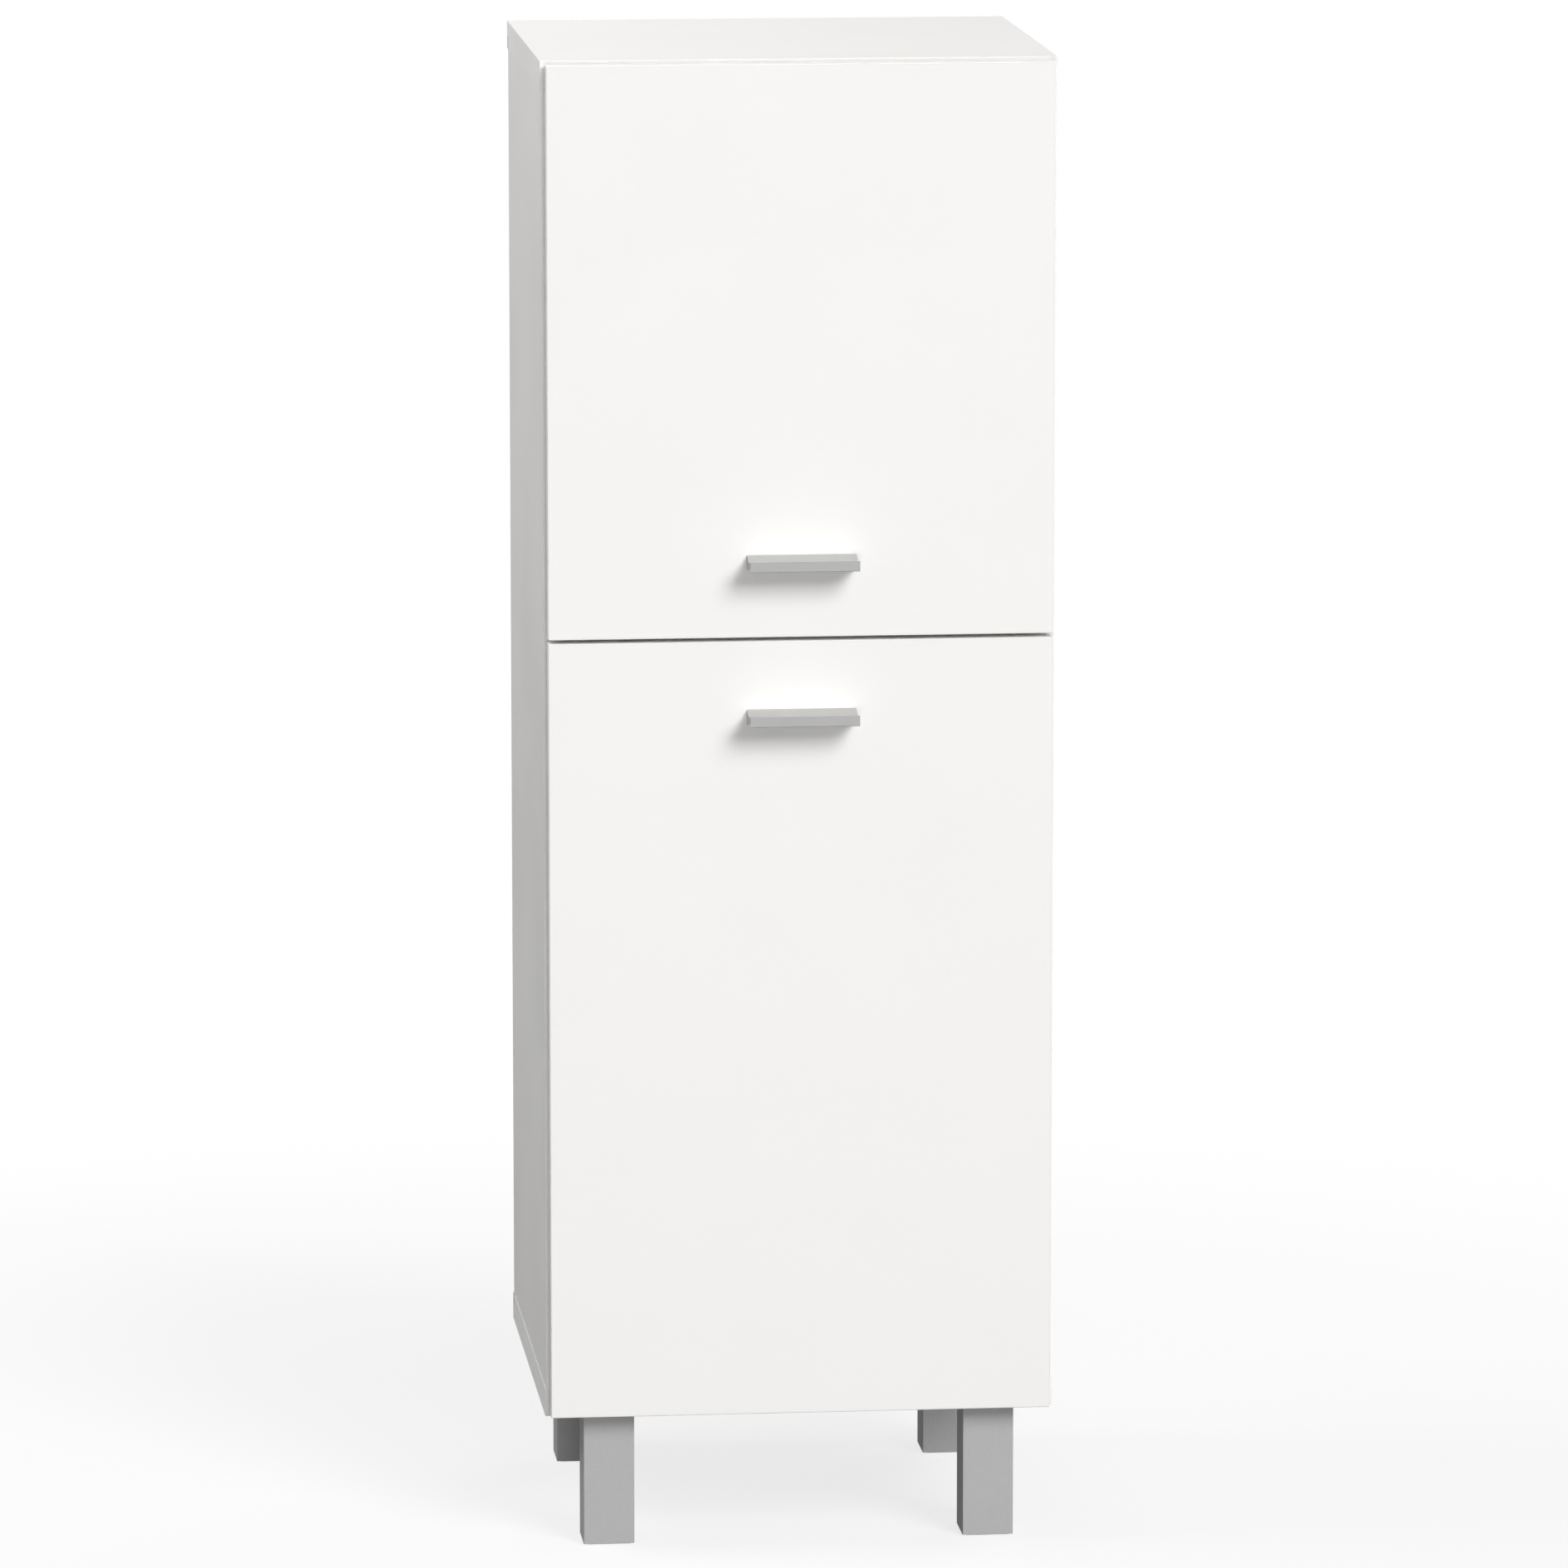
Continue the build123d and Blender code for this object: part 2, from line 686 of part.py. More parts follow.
def hinge_arm(hinge_z):
    """A channel on the side panel, with a nose that reaches round the cup's rim to the pivot."""
    leg_high_x = inner_x - nose_leg_offset
    leg_low_x = leg_high_x - nose_thickness
    top_y = pivot_y - eye_radius
    web_x = inner_x - arm_height
    root_y = front_y + arm_front
    half_nose = nose_width / 2
    eye = rod((pivot_x, pivot_y, hinge_z - half_nose), (0, 0, 1), eye_radius, nose_width)
    across = block((leg_low_x, top_y, hinge_z - half_nose),
                   (pivot_x, top_y + nose_thickness, hinge_z + half_nose))
    down = block((leg_low_x, top_y, hinge_z - half_nose),
                 (leg_high_x, root_y, hinge_z + half_nose))
    neck = across + down
    outer = neck.edges().filter_by(Axis.Z).sort_by(
        lambda e: abs(e.center().X - leg_low_x) + abs(e.center().Y - top_y))[0]
    neck = fillet(outer, nose_thickness)
    gusset = Plane(origin=(0, 0, hinge_z - half_nose)) * make_face(Polyline(
        (leg_high_x, root_y - nose_thickness - arm_front),
        (leg_low_x, root_y - nose_thickness - arm_front),
        (web_x, root_y),
        (web_x, root_y + arm_root_length),
        (leg_high_x, root_y + arm_root_length),
        close=True))
    root = extrude(gusset, nose_width)
    half = arm_width / 2
    channel = block((web_x, root_y, hinge_z - half),
                    (inner_x - arm_lift, root_y + arm_length, hinge_z + half))
    channel -= block((web_x + arm_sheet, root_y, hinge_z - half + arm_sheet),
                     (inner_x, root_y + arm_length, hinge_z + half - arm_sheet))
    arm = eye + neck + root + channel
    for seat in clamp_screw_seats(hinge_z):
        arm -= rod(seat, (1, 0, 0), clamp_screw_radius + fitting_play, arm_sheet)
    low = (pivot_x, pivot_y, hinge_z - half_nose)
    return arm - rod(low, (0, 0, 1), pivot_radius + pivot_play, nose_width)


def hinge_plate(hinge_z):
    """A winged plate on the side panel, with the rib that the arm sits on."""
    middle_y = front_y + arm_front + arm_length / 2
    wing_y = front_y + plate_from_front
    face_x = inner_x - plate_thickness
    base = block((face_x, middle_y - plate_length / 2, hinge_z - plate_width / 2),
                 (inner_x, middle_y + plate_length / 2, hinge_z + plate_width / 2))
    wings = block((face_x, wing_y - plate_wing_length / 2, hinge_z - plate_wing_span / 2),
                  (inner_x, wing_y + plate_wing_length / 2, hinge_z + plate_wing_span / 2))
    wings = fillet(wings.edges().filter_by(Axis.X), plate_wing_length / 4)
    half_rib = arm_width / 2 - arm_sheet - plate_rib_play
    rib = block((inner_x - arm_height + arm_sheet, middle_y - plate_length / 2,
                 hinge_z - half_rib),
                (face_x, middle_y + plate_length / 2, hinge_z + half_rib))
    plate = base + wings + rib
    for seat in plate_screw_seats(hinge_z):
        plate -= rod(seat, (1, 0, 0), wood_screw_radius + screw_play, plate_thickness)
    for seat in clamp_screw_seats(hinge_z):
        plate -= rod(seat, (1, 0, 0), clamp_screw_radius + screw_play, clamp_screw_depth)
    return plate


def hinge_parts(door_name, hinge_heights):
    """The pieces of one door's pair of hinges, each kind as one group."""
    cups = [hinge_cup(z) for z in hinge_heights]
    write(f"{door_name}_hinge_cups", cups)
    write(f"{door_name}_hinge_pins", [pivot_pin(z) for z in hinge_heights])
    write(f"{door_name}_hinge_arms", [hinge_arm(z) for z in hinge_heights])
    write(f"{door_name}_hinge_plates", [hinge_plate(z) for z in hinge_heights])
    into_door = (0, -1, 0)
    into_side = (1, 0, 0)
    write(f"{door_name}_cup_screws",
          [wood_screw(seat, into_door, cup_flange_thickness)
           for z in hinge_heights for seat in cup_screw_seats(z)])
    write(f"{door_name}_plate_screws",
          [wood_screw(seat, into_side, plate_thickness)
           for z in hinge_heights for seat in plate_screw_seats(z)])
    write(f"{door_name}_clamp_screws",
          [screw(seat, into_side, clamp_screw_radius, clamp_screw_depth,
                 clamp_screw_head_radius, clamp_screw_head_height)
           for z in hinge_heights for seat in clamp_screw_seats(z)])


def door_parts(door_name, low_z, high_z, hinge_heights, handle_z):
    """One door with its handle, buffers and hinges."""
    write(f"{door_name}_door", [door(low_z, high_z, hinge_heights, handle_z)])
    write(f"{door_name}_handle", [handle(handle_z)])
    write(f"{door_name}_handle_screws", handle_screws(handle_z))
    write(f"{door_name}_door_buffers", door_buffers(low_z, high_z))
    hinge_parts(door_name, hinge_heights)


def carcass_parts():
    """The panels, shelves and fittings of the carcass."""
    write("top_panel", [top_panel()])
    write("bottom_panel", [bottom_panel()])
    write("left_side_panel", [side_panel(-1)])
    write("right_side_panel", [side_panel(1)])
    write("back_panel", [back_panel()])
    write("fixed_shelf", [fixed_shelf()])
    write("upper_shelf", [loose_shelf(upper_shelf_z)])
    write("lower_shelf", [loose_shelf(lower_shelf_z)])
    write("upper_shelf_pins", shelf_pins(upper_shelf_z))
    write("lower_shelf_pins", shelf_pins(lower_shelf_z))
    write("dowels", dowels())
    write("cam_bolts", cam_bolts())
    write("cam_locks", cam_locks())
    write("back_panel_nails", back_nails())
    write("wall_brackets", wall_brackets())
    write("wall_bracket_screws", bracket_screws())


def leg_parts():
    """The legs, their sockets, glides and screws."""
    for name, x, y in leg_centres():
        write(name, [leg(x, y)])
    write("leg_glides", [leg_glide(x, y) for _, x, y in leg_centres()])
    write("leg_sockets", [leg_socket(x, y) for _, x, y in leg_centres()])
    write("leg_socket_screws", socket_screws())


os.makedirs("parts", exist_ok=True)
carcass_parts()
leg_parts()
door_parts("upper", upper_door_low_z, upper_door_high_z, upper_hinge_heights,
           upper_door_low_z + upper_handle_rise)
door_parts("lower", lower_door_low_z, lower_door_high_z, lower_hinge_heights,
           lower_door_high_z - lower_handle_drop)
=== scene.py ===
"""Looks of a tall two-door bathroom cabinet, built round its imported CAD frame.

Everything is in metres in the frame of the CAD part: X to the right, the doors face -Y, Z up.
"""

from __future__ import annotations

import logging
import math
from dataclasses import dataclass
from enum import Enum

import bmesh
import bpy
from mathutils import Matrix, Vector

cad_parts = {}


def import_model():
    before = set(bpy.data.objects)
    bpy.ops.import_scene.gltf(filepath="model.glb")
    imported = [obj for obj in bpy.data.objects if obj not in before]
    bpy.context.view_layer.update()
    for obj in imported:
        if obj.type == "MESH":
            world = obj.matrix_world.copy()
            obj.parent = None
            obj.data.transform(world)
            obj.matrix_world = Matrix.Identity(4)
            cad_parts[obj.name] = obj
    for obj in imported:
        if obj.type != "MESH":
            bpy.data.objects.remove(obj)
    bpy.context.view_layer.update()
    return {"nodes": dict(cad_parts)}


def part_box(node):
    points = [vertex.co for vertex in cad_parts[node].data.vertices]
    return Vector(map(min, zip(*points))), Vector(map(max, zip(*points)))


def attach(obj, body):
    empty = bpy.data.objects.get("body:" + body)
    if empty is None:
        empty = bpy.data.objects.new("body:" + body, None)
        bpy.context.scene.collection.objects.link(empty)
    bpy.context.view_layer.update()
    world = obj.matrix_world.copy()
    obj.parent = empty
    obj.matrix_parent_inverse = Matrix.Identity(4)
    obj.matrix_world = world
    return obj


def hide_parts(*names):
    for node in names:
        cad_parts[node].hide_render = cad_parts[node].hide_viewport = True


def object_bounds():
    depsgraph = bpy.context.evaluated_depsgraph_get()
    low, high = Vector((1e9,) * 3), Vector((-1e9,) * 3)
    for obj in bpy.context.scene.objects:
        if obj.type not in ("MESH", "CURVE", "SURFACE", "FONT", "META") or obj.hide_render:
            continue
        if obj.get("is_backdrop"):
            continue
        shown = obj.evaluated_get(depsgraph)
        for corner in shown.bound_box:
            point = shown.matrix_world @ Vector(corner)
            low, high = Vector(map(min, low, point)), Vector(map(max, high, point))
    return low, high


LOG = logging.getLogger("cabinet")
CARCASS = "carcass"

# A plane this far off is never the nearest one of a board.
FAR = 10.0

# A noise below the first value counts as its darker tone, and above the second as its lighter one.
NOISE_LOW, NOISE_HIGH = 0.3, 0.7

# Solids are told apart once points this close are one, and put in order by rounded places.
WELD_DISTANCE = 1e-6
PLACE_DIGITS = 4

FLOAT = "NodeSocketFloat"
GEOMETRY = "NodeSocketGeometry"

Triple = tuple[float, float, float]
Socket = bpy.types.NodeSocket
Node = bpy.types.Node


class Axis(Enum):
    """The direction that a board's thickness lies along."""

    X = 0
    Y = 1
    Z = 2


class Edge(Enum):
    """One side of a board's box, as its axis and whether it is the high side."""

    LEFT = (0, False)
    RIGHT = (0, True)
    FRONT = (1, False)
    REAR = (1, True)
    BOTTOM = (2, False)
    TOP = (2, True)


class Facing(Enum):
    """The way that the heads of a group of screws face."""

    LEFT = (-1, 0, 0)
    BACK = (0, 1, 0)
    DOWN = (0, 0, -1)


def linear(red: int, green: int, blue: int) -> Triple:
    """Turns display values from 0 to 255 into the linear colour that a shader takes.

    Args:
        red: Red as displayed.
        green: Green as displayed.
        blue: Blue as displayed.

    Returns:
        The same colour as three linear values.
    """

    def one(value: int) -> float:
        """Undoes the display curve of one channel."""
        share = value / 255
        return share / 12.92 if share <= 0.04045 else ((share + 0.055) / 1.055) ** 2.4

    return one(red), one(green), one(blue)


class Wiring:
    """Short calls that add nodes to one tree and join them."""

    def __init__(self, tree: bpy.types.NodeTree) -> None:
        """Keeps the tree that the nodes go into."""
        self.tree = tree

    def add(self, kind: str, **settings: object) -> Node:
        """Adds a node.

        Args:
            kind: The node's type name.
            **settings: Its properties, such as operation.

        Returns:
            The new node.
        """
        node = self.tree.nodes.new(kind)
        for name, value in settings.items():
            setattr(node, name, value)
        return node

    def feed(self, target: Socket, value: object) -> None:
        """Joins a socket to another or sets its own value.

        Args:
            target: The input socket.
            value: A socket to join, or a number, vector or colour to set.
        """
        if isinstance(value, bpy.types.NodeSocket):
            self.tree.links.new(value, target)
        elif value is not None:
            target.default_value = value

    def feed_named(self, node: Node, **values: object) -> None:
        """Feeds a node's inputs by name.

        Args:
            node: The node.
            **values: What goes in; a name's underscores stand for spaces.
        """
        for name, value in values.items():
            self.feed(node.inputs[name.replace("_", " ")], value)

    def feed_in_order(self, node: Node, *values: object) -> None:
        """Feeds a node's inputs from the first one on."""
        for target, value in zip(node.inputs, values):
            self.feed(target, value)

    def math(self, operation: str, *values: object) -> Socket:
        """Adds a Math node.

        Args:
            operation: What it does.
            *values: One to three values.

        Returns:
            Its result.
        """
        node = self.add("ShaderNodeMath", operation=operation)
        self.feed_in_order(node, *values)
        return node.outputs[0]

    def vector_math(self, operation: str, *values: object) -> Socket:
        """Adds a Vector Math node.

        Args:
            operation: What it does.
            *values: One or two vectors.

        Returns:
            Its vector.
        """
        node = self.add("ShaderNodeVectorMath", operation=operation)
        self.feed_in_order(node, *values)
        return node.outputs["Vector"]

    def split(self, vector: object) -> bpy.types.NodeOutputs:
        """Parts a vector or a colour into its X, Y and Z.

        Args:
            vector: What is parted.

        Returns:
            The three outputs.
        """
        node = self.add("ShaderNodeSeparateXYZ")
        self.feed(node.inputs[0], vector)
        return node.outputs

    def step(self, value: object, low: float, high: float) -> Socket:
        """Adds a smooth step.

        Args:
            value: What is measured.
            low: Where the step is still 0.
            high: Where it reaches 1.

        Returns:
            The height of the step.
        """
        node = self.add("ShaderNodeMapRange", interpolation_type="SMOOTHSTEP")
        self.feed_named(node, Value=value, From_Min=low, From_Max=high)
        return node.outputs["Result"]

    def blend(self, share: object, first: object, second: object) -> Socket:
        """Mixes two colours.

        Args:
            share: How much of the second colour there is, from 0 to 1.
            first: The colour at 0.
            second: The colour at 1.

        Returns:
            The mixed colour.
        """
        node = self.add("ShaderNodeMix", data_type="RGBA")
        self.feed_named(node, Factor=share, A=as_rgba(first), B=as_rgba(second))
        return node.outputs["Result"]

    def scale_colour(self, colour: object, share: object) -> Socket:
        """Multiplies a colour by a plain value.

        Args:
            colour: The colour.
            share: The value.

        Returns:
            The lighter or darker colour.
        """
        node = self.add("ShaderNodeVectorMath", operation="SCALE")
        self.feed(node.inputs[0], colour)
        self.feed(node.inputs["Scale"], share)
        return node.outputs["Vector"]

    def noise(self, vector: object, scale: object, detail: float, roughness: float) -> Socket:
        """Adds a noise texture.

        Args:
            vector: Where it is read.
            scale: How fine it is.
            detail: How many finer layers lie on the first.
            roughness: How strong each finer layer is.

        Returns:
            Its value from 0 to 1.
        """
        node = self.add("ShaderNodeTexNoise")
        self.feed_named(node, Vector=vector, Scale=scale, Detail=detail, Roughness=roughness)
        return node.outputs["Fac"]

    def centred(self, value: object) -> Socket:
        """Moves a value from the range 0 to 1 to one round 0."""
        return self.math("SUBTRACT", value, 0.5)

    def mix_shaders(self, share: object, first: Node, second: Node) -> Socket:
        """Mixes two shaders.

        Args:
            share: How much of the second there is, from 0 to 1.
            first: The shader at 0.
            second: The shader at 1.

        Returns:
            The mixed shader.
        """
        node = self.add("ShaderNodeMixShader")
        self.feed_in_order(node, share, first.outputs[0], second.outputs[0])
        return node.outputs[0]


def cleared(owner: bpy.types.Material | bpy.types.World) -> Wiring:
    """Switches an owner's nodes on and takes them all out.

    Args:
        owner: A material or a world.

    Returns:
        The wiring of its empty tree.
    """
    owner.use_nodes = True
    owner.node_tree.nodes.clear()
    return Wiring(owner.node_tree)


def as_rgba(value: object) -> object:
    """Gives a plain colour its fourth channel.

    Args:
        value: A colour, a number or a socket.

    Returns:
        The colour with an alpha of 1, or anything else as it was.
    """
    if isinstance(value, tuple) and len(value) == 3:
        return (*value, 1.0)
    return value


class Pattern:
    """A shader node group, built once and placed in each material that uses it."""

    made: dict[str, bpy.types.NodeTree] = {}

    def __init__(self, name: str, values: tuple[str, ...], outputs: tuple[str, ...],
                 vectors: tuple[str, ...] = ()) -> None:
        """Opens a new group, which always takes the vector where it is read.

        Args:
            name: The group's name.
            values: The numbers that go in.
            outputs: The numbers that come out.
            vectors: The other vectors that go in.
        """
        tree = bpy.data.node_groups.new(name, "ShaderNodeTree")
        for socket in ("Vector", *vectors):
            tree.interface.new_socket(socket, in_out="INPUT", socket_type="NodeSocketVector")
        for socket in values:
            tree.interface.new_socket(socket, in_out="INPUT", socket_type=FLOAT)
        for socket in outputs:
            tree.interface.new_socket(socket, in_out="OUTPUT", socket_type=FLOAT)
        self.wire = Wiring(tree)
        self.source = self.wire.add("NodeGroupInput").outputs
        self.sink = self.wire.add("NodeGroupOutput").inputs
        Pattern.made[name] = tree

    def give(self, socket: str, value: object) -> None:
        """Joins a result to one of the group's outputs."""
        self.wire.feed(self.sink[socket], value)

    def finer(self, times: float) -> Socket:
        """Multiplies the group's fineness."""
        return self.wire.math("MULTIPLY", self.source["Fineness"], times)

    def tone(self, swing: Socket) -> Socket:
        """Turns a swing round 0 into a tone round 1, by the group's strength."""
        return self.wire.math("MULTIPLY_ADD", swing, self.source["Strength"], 1.0)

    def cells(self) -> bpy.types.NodeOutputs:
        """Adds a cell texture of the group's fineness.

        Returns:
            The texture's outputs.
        """
        node = self.wire.add("ShaderNodeTexVoronoi", feature="F1")
        self.wire.feed_named(node, Vector=self.source["Vector"], Scale=self.source["Fineness"])
        return node.outputs


def build_orange_peel() -> None:
    """The pearl of pressed melamine and of foil: a fine tone and height, with a slow drift."""
    drift_fineness, drift_weight = 0.012, 0.5
    group = Pattern("orange_peel", ("Fineness", "Strength"), ("Tone", "Height"))
    wire, source = group.wire, group.source
    fine = wire.noise(source["Vector"], source["Fineness"], detail=2.0, roughness=0.6)
    slow = wire.noise(source["Vector"], group.finer(drift_fineness), detail=2.0, roughness=0.5)
    drift = wire.math("MULTIPLY", wire.centred(slow), drift_weight)
    group.give("Tone", group.tone(wire.math("ADD", wire.centred(fine), drift)))
    group.give("Height", fine)


def build_board_zones() -> None:
    """Where a bored and banded board shows its core, its edge band and the seam of the band."""
    group = Pattern("board_zones", ("Skin", "Band Width", "Seam Width"), ("Core", "Band", "Seam"),
                    ("Face Low", "Face High", "Band Low", "Band High"))
    wire, source = group.wire, group.source

    def nearest(low: Socket, high: Socket) -> Socket:
        """Measures to the nearest of the six planes of a box.

        Args:
            low: The box's lowest corner.
            high: Its highest corner.

        Returns:
            The distance.
        """
        above = wire.vector_math("SUBTRACT", source["Vector"], low)
        below = wire.vector_math("SUBTRACT", high, source["Vector"])
        least = wire.split(wire.vector_math("MINIMUM", above, below))
        pair = wire.math("MINIMUM", least["X"], least["Y"])
        return wire.math("MINIMUM", pair, least["Z"])

    face = nearest(source["Face Low"], source["Face High"])
    band = nearest(source["Band Low"], source["Band High"])
    under_skin = wire.math("GREATER_THAN", face, source["Skin"])
    past_band = wire.math("GREATER_THAN", band, source["Band Width"])
    group.give("Core", wire.math("MULTIPLY", under_skin, past_band))
    group.give("Band", wire.math("LESS_THAN", band, source["Band Width"]))
    from_seam = wire.math("ABSOLUTE", wire.math("SUBTRACT", band, source["Band Width"]))
    group.give("Seam", wire.math("LESS_THAN", from_seam, source["Seam Width"]))


def build_chipboard() -> None:
    """Pressed wood chips, as two tones that vary from chip to chip."""
    grain_fineness, chip_weight, grain_weight = 2.6, 0.6, 0.4
    group = Pattern("chipboard", ("Fineness",), ("Chip", "Height"))
    wire, source = group.wire, group.source
    cells = group.cells()
    grain = wire.noise(source["Vector"], group.finer(grain_fineness), detail=3.0, roughness=0.6)
    speck = wire.math("MULTIPLY", grain, grain_weight)
    chip = wire.math("MULTIPLY_ADD", wire.split(cells["Color"])["X"], chip_weight, speck)
    group.give("Chip", chip)
    group.give("Height", wire.math("ADD", cells["Distance"], grain))


def build_fibres() -> None:
    """The matted fibres of the rough side of hardboard."""
    stretch = (1.0, 1.0, 0.35)
    cloud_fineness, fibre_weight, cloud_weight = 0.03, 0.85, 0.15
    group = Pattern("fibres", ("Fineness",), ("Fleck", "Height"))
    wire, source = group.wire, group.source
    stretched = wire.vector_math("MULTIPLY", source["Vector"], stretch)
    along = wire.noise(stretched, source["Fineness"], detail=4.0, roughness=0.65)
    cloud = wire.noise(source["Vector"], group.finer(cloud_fineness), detail=3.0, roughness=0.55)
    haze = wire.math("MULTIPLY", cloud, cloud_weight)
    group.give("Fleck", wire.math("MULTIPLY_ADD", along, fibre_weight, haze))
    group.give("Height", along)


def build_metal_flake() -> None:
    """The sparkle and slight cloud of a silver lacquer or a plating."""
    grain_fineness, cloud_fineness, cloud_weight = 0.55, 0.02, 0.8
    group = Pattern("metal_flake", ("Fineness", "Strength"), ("Tone", "Shine", "Height"))
    wire, source = group.wire, group.source
    flake = wire.split(group.cells()["Color"])
    grain = wire.noise(source["Vector"], group.finer(grain_fineness), detail=2.0, roughness=0.6)
    cloud = wire.noise(source["Vector"], group.finer(cloud_fineness), detail=2.0, roughness=0.5)
    swing = wire.math("ADD", wire.centred(flake["X"]), wire.centred(grain))
    swing = wire.math("ADD", swing, wire.math("MULTIPLY", wire.centred(cloud), cloud_weight))
    group.give("Tone", group.tone(swing))
    group.give("Shine", flake["Y"])
    group.give("Height", grain)


def build_drawn_lines() -> None:
    """Fine lines along a drawn or rolled metal, with an even grain over them."""
    grain_fineness, grain_weight = 1600.0, 0.8
    group = Pattern("drawn_lines", ("Strength",), ("Tone", "Height"), ("Squeeze",))
    wire, source = group.wire, group.source
    squeezed = wire.vector_math("MULTIPLY", source["Vector"], source["Squeeze"])
    lines = wire.noise(squeezed, 1.0, detail=3.0, roughness=0.7)
    grain = wire.noise(source["Vector"], grain_fineness, detail=1.0, roughness=0.5)
    swing = wire.math("MULTIPLY_ADD", wire.centred(grain), grain_weight, wire.centred(lines))
    group.give("Tone", group.tone(swing))
    group.give("Height", lines)


def build_touch_marks() -> None:
    """The faint duller patches that hands and cloths leave on a smooth face."""
    clean, marked = 0.35, 0.7
    group = Pattern("touch_marks", ("Size", "Strength", "Base"), ("Roughness",))
    wire, source = group.wire, group.source
    scale = wire.math("DIVIDE", 1.0, source["Size"])
    patches = wire.noise(source["Vector"], scale, detail=4.0, roughness=0.6)
    swing = wire.centred(wire.step(patches, clean, marked))
    group.give("Roughness", wire.math("MULTIPLY_ADD", swing, source["Strength"], source["Base"]))


def build_wood_figure() -> None:
    """The fine rays and pores of beech along a dowel."""
    stretch = (1.0, 1.0, 0.08)
    group = Pattern("wood_figure", ("Fineness",), ("Figure",))
    wire, source = group.wire, group.source
    stretched = wire.vector_math("MULTIPLY", source["Vector"], stretch)
    group.give("Figure", wire.noise(stretched, source["Fineness"], detail=4.0, roughness=0.6))


def build_patterns() -> None:
    """Builds every shared group, once."""
    for build in (build_orange_peel, build_board_zones, build_chipboard, build_fibres,
                  build_metal_flake, build_drawn_lines, build_touch_marks, build_wood_figure):
        build()


class Paint:
    """One material under construction, with its shader and its object coordinates."""

    def __init__(self, name: str) -> None:
        """Opens a material with an empty Principled shader.

        Args:
            name: The material's name.
        """
        self.material = bpy.data.materials.new(name)
        self.wire = cleared(self.material)
        self.shader = self.wire.add("ShaderNodeBsdfPrincipled")
        self.wire.feed(self.wire.add("ShaderNodeOutputMaterial").inputs["Surface"],
                       self.shader.outputs["BSDF"])
        self.place = self.wire.add("ShaderNodeTexCoord").outputs["Object"]

    def set(self, **values: object) -> None:
        """Sets shader sockets; a name's underscores stand for spaces."""
        for name, value in values.items():
            self.wire.feed(self.shader.inputs[name.replace("_", " ")], as_rgba(value))

    def pattern(self, name: str, **values: object) -> bpy.types.NodeOutputs:
        """Places a shared group on the object coordinates.

        Args:
            name: The group's name.
            **values: Its inputs; a name's underscores stand for spaces.

        Returns:
            The group's outputs.
        """
        node = self.wire.add("ShaderNodeGroup")
        node.node_tree = Pattern.made[name]
        self.wire.feed(node.inputs["Vector"], self.place)
        self.wire.feed_named(node, **values)
        return node.outputs

    def marks(self, size: float, swing: float, base: float) -> Socket:
        """Gives a roughness with touch marks of a size, swinging round its base."""
        return self.pattern("touch_marks", Size=size, Strength=swing, Base=base)["Roughness"]

    def two_tone(self, noise: Socket, dark: Triple, light: Triple) -> Socket:
        """Spreads a noise between two colours."""
        return self.wire.blend(self.wire.step(noise, NOISE_LOW, NOISE_HIGH), dark, light)

    def relief(self, height: object, depth: float, before: object = None) -> Socket:
        """Adds a Bump node of a real depth.

        Args:
            height: The height from 0 to 1.
            depth: How deep it is, in metres.
            before: The normal of an earlier one that this one lies over.

        Returns:
            The bent normal.
        """
        node = self.wire.add("ShaderNodeBump")
        self.wire.feed_named(node, Strength=1.0, Distance=depth, Height=height, Normal=before)
        return node.outputs["Normal"]


@dataclass(frozen=True)
class BoardPlan:
    """Which sides of a board's box are covered, and how."""

    thickness: Axis
    banded: tuple[Edge, ...]

    def planes(self, node: str) -> dict[str, Triple]:
        """Gives the planes of the faces and of the edge bands.

        Args:
            node: The CAD node of the board.

        Returns:
            The inputs of the board_zones group that say where they are.
        """
        low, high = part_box(node)
        planes = {"Face_Low": [-FAR] * 3, "Face_High": [FAR] * 3,
                  "Band_Low": [-FAR] * 3, "Band_High": [FAR] * 3}
        axis = self.thickness.value
        planes["Face_Low"][axis] = low[axis]
        planes["Face_High"][axis] = high[axis]
        for edge in self.banded:
            side, is_high = edge.value
            corner = high if is_high else low
            planes["Band_High" if is_high else "Band_Low"][side] = corner[side]
        return {name: tuple(values) for name, values in planes.items()}


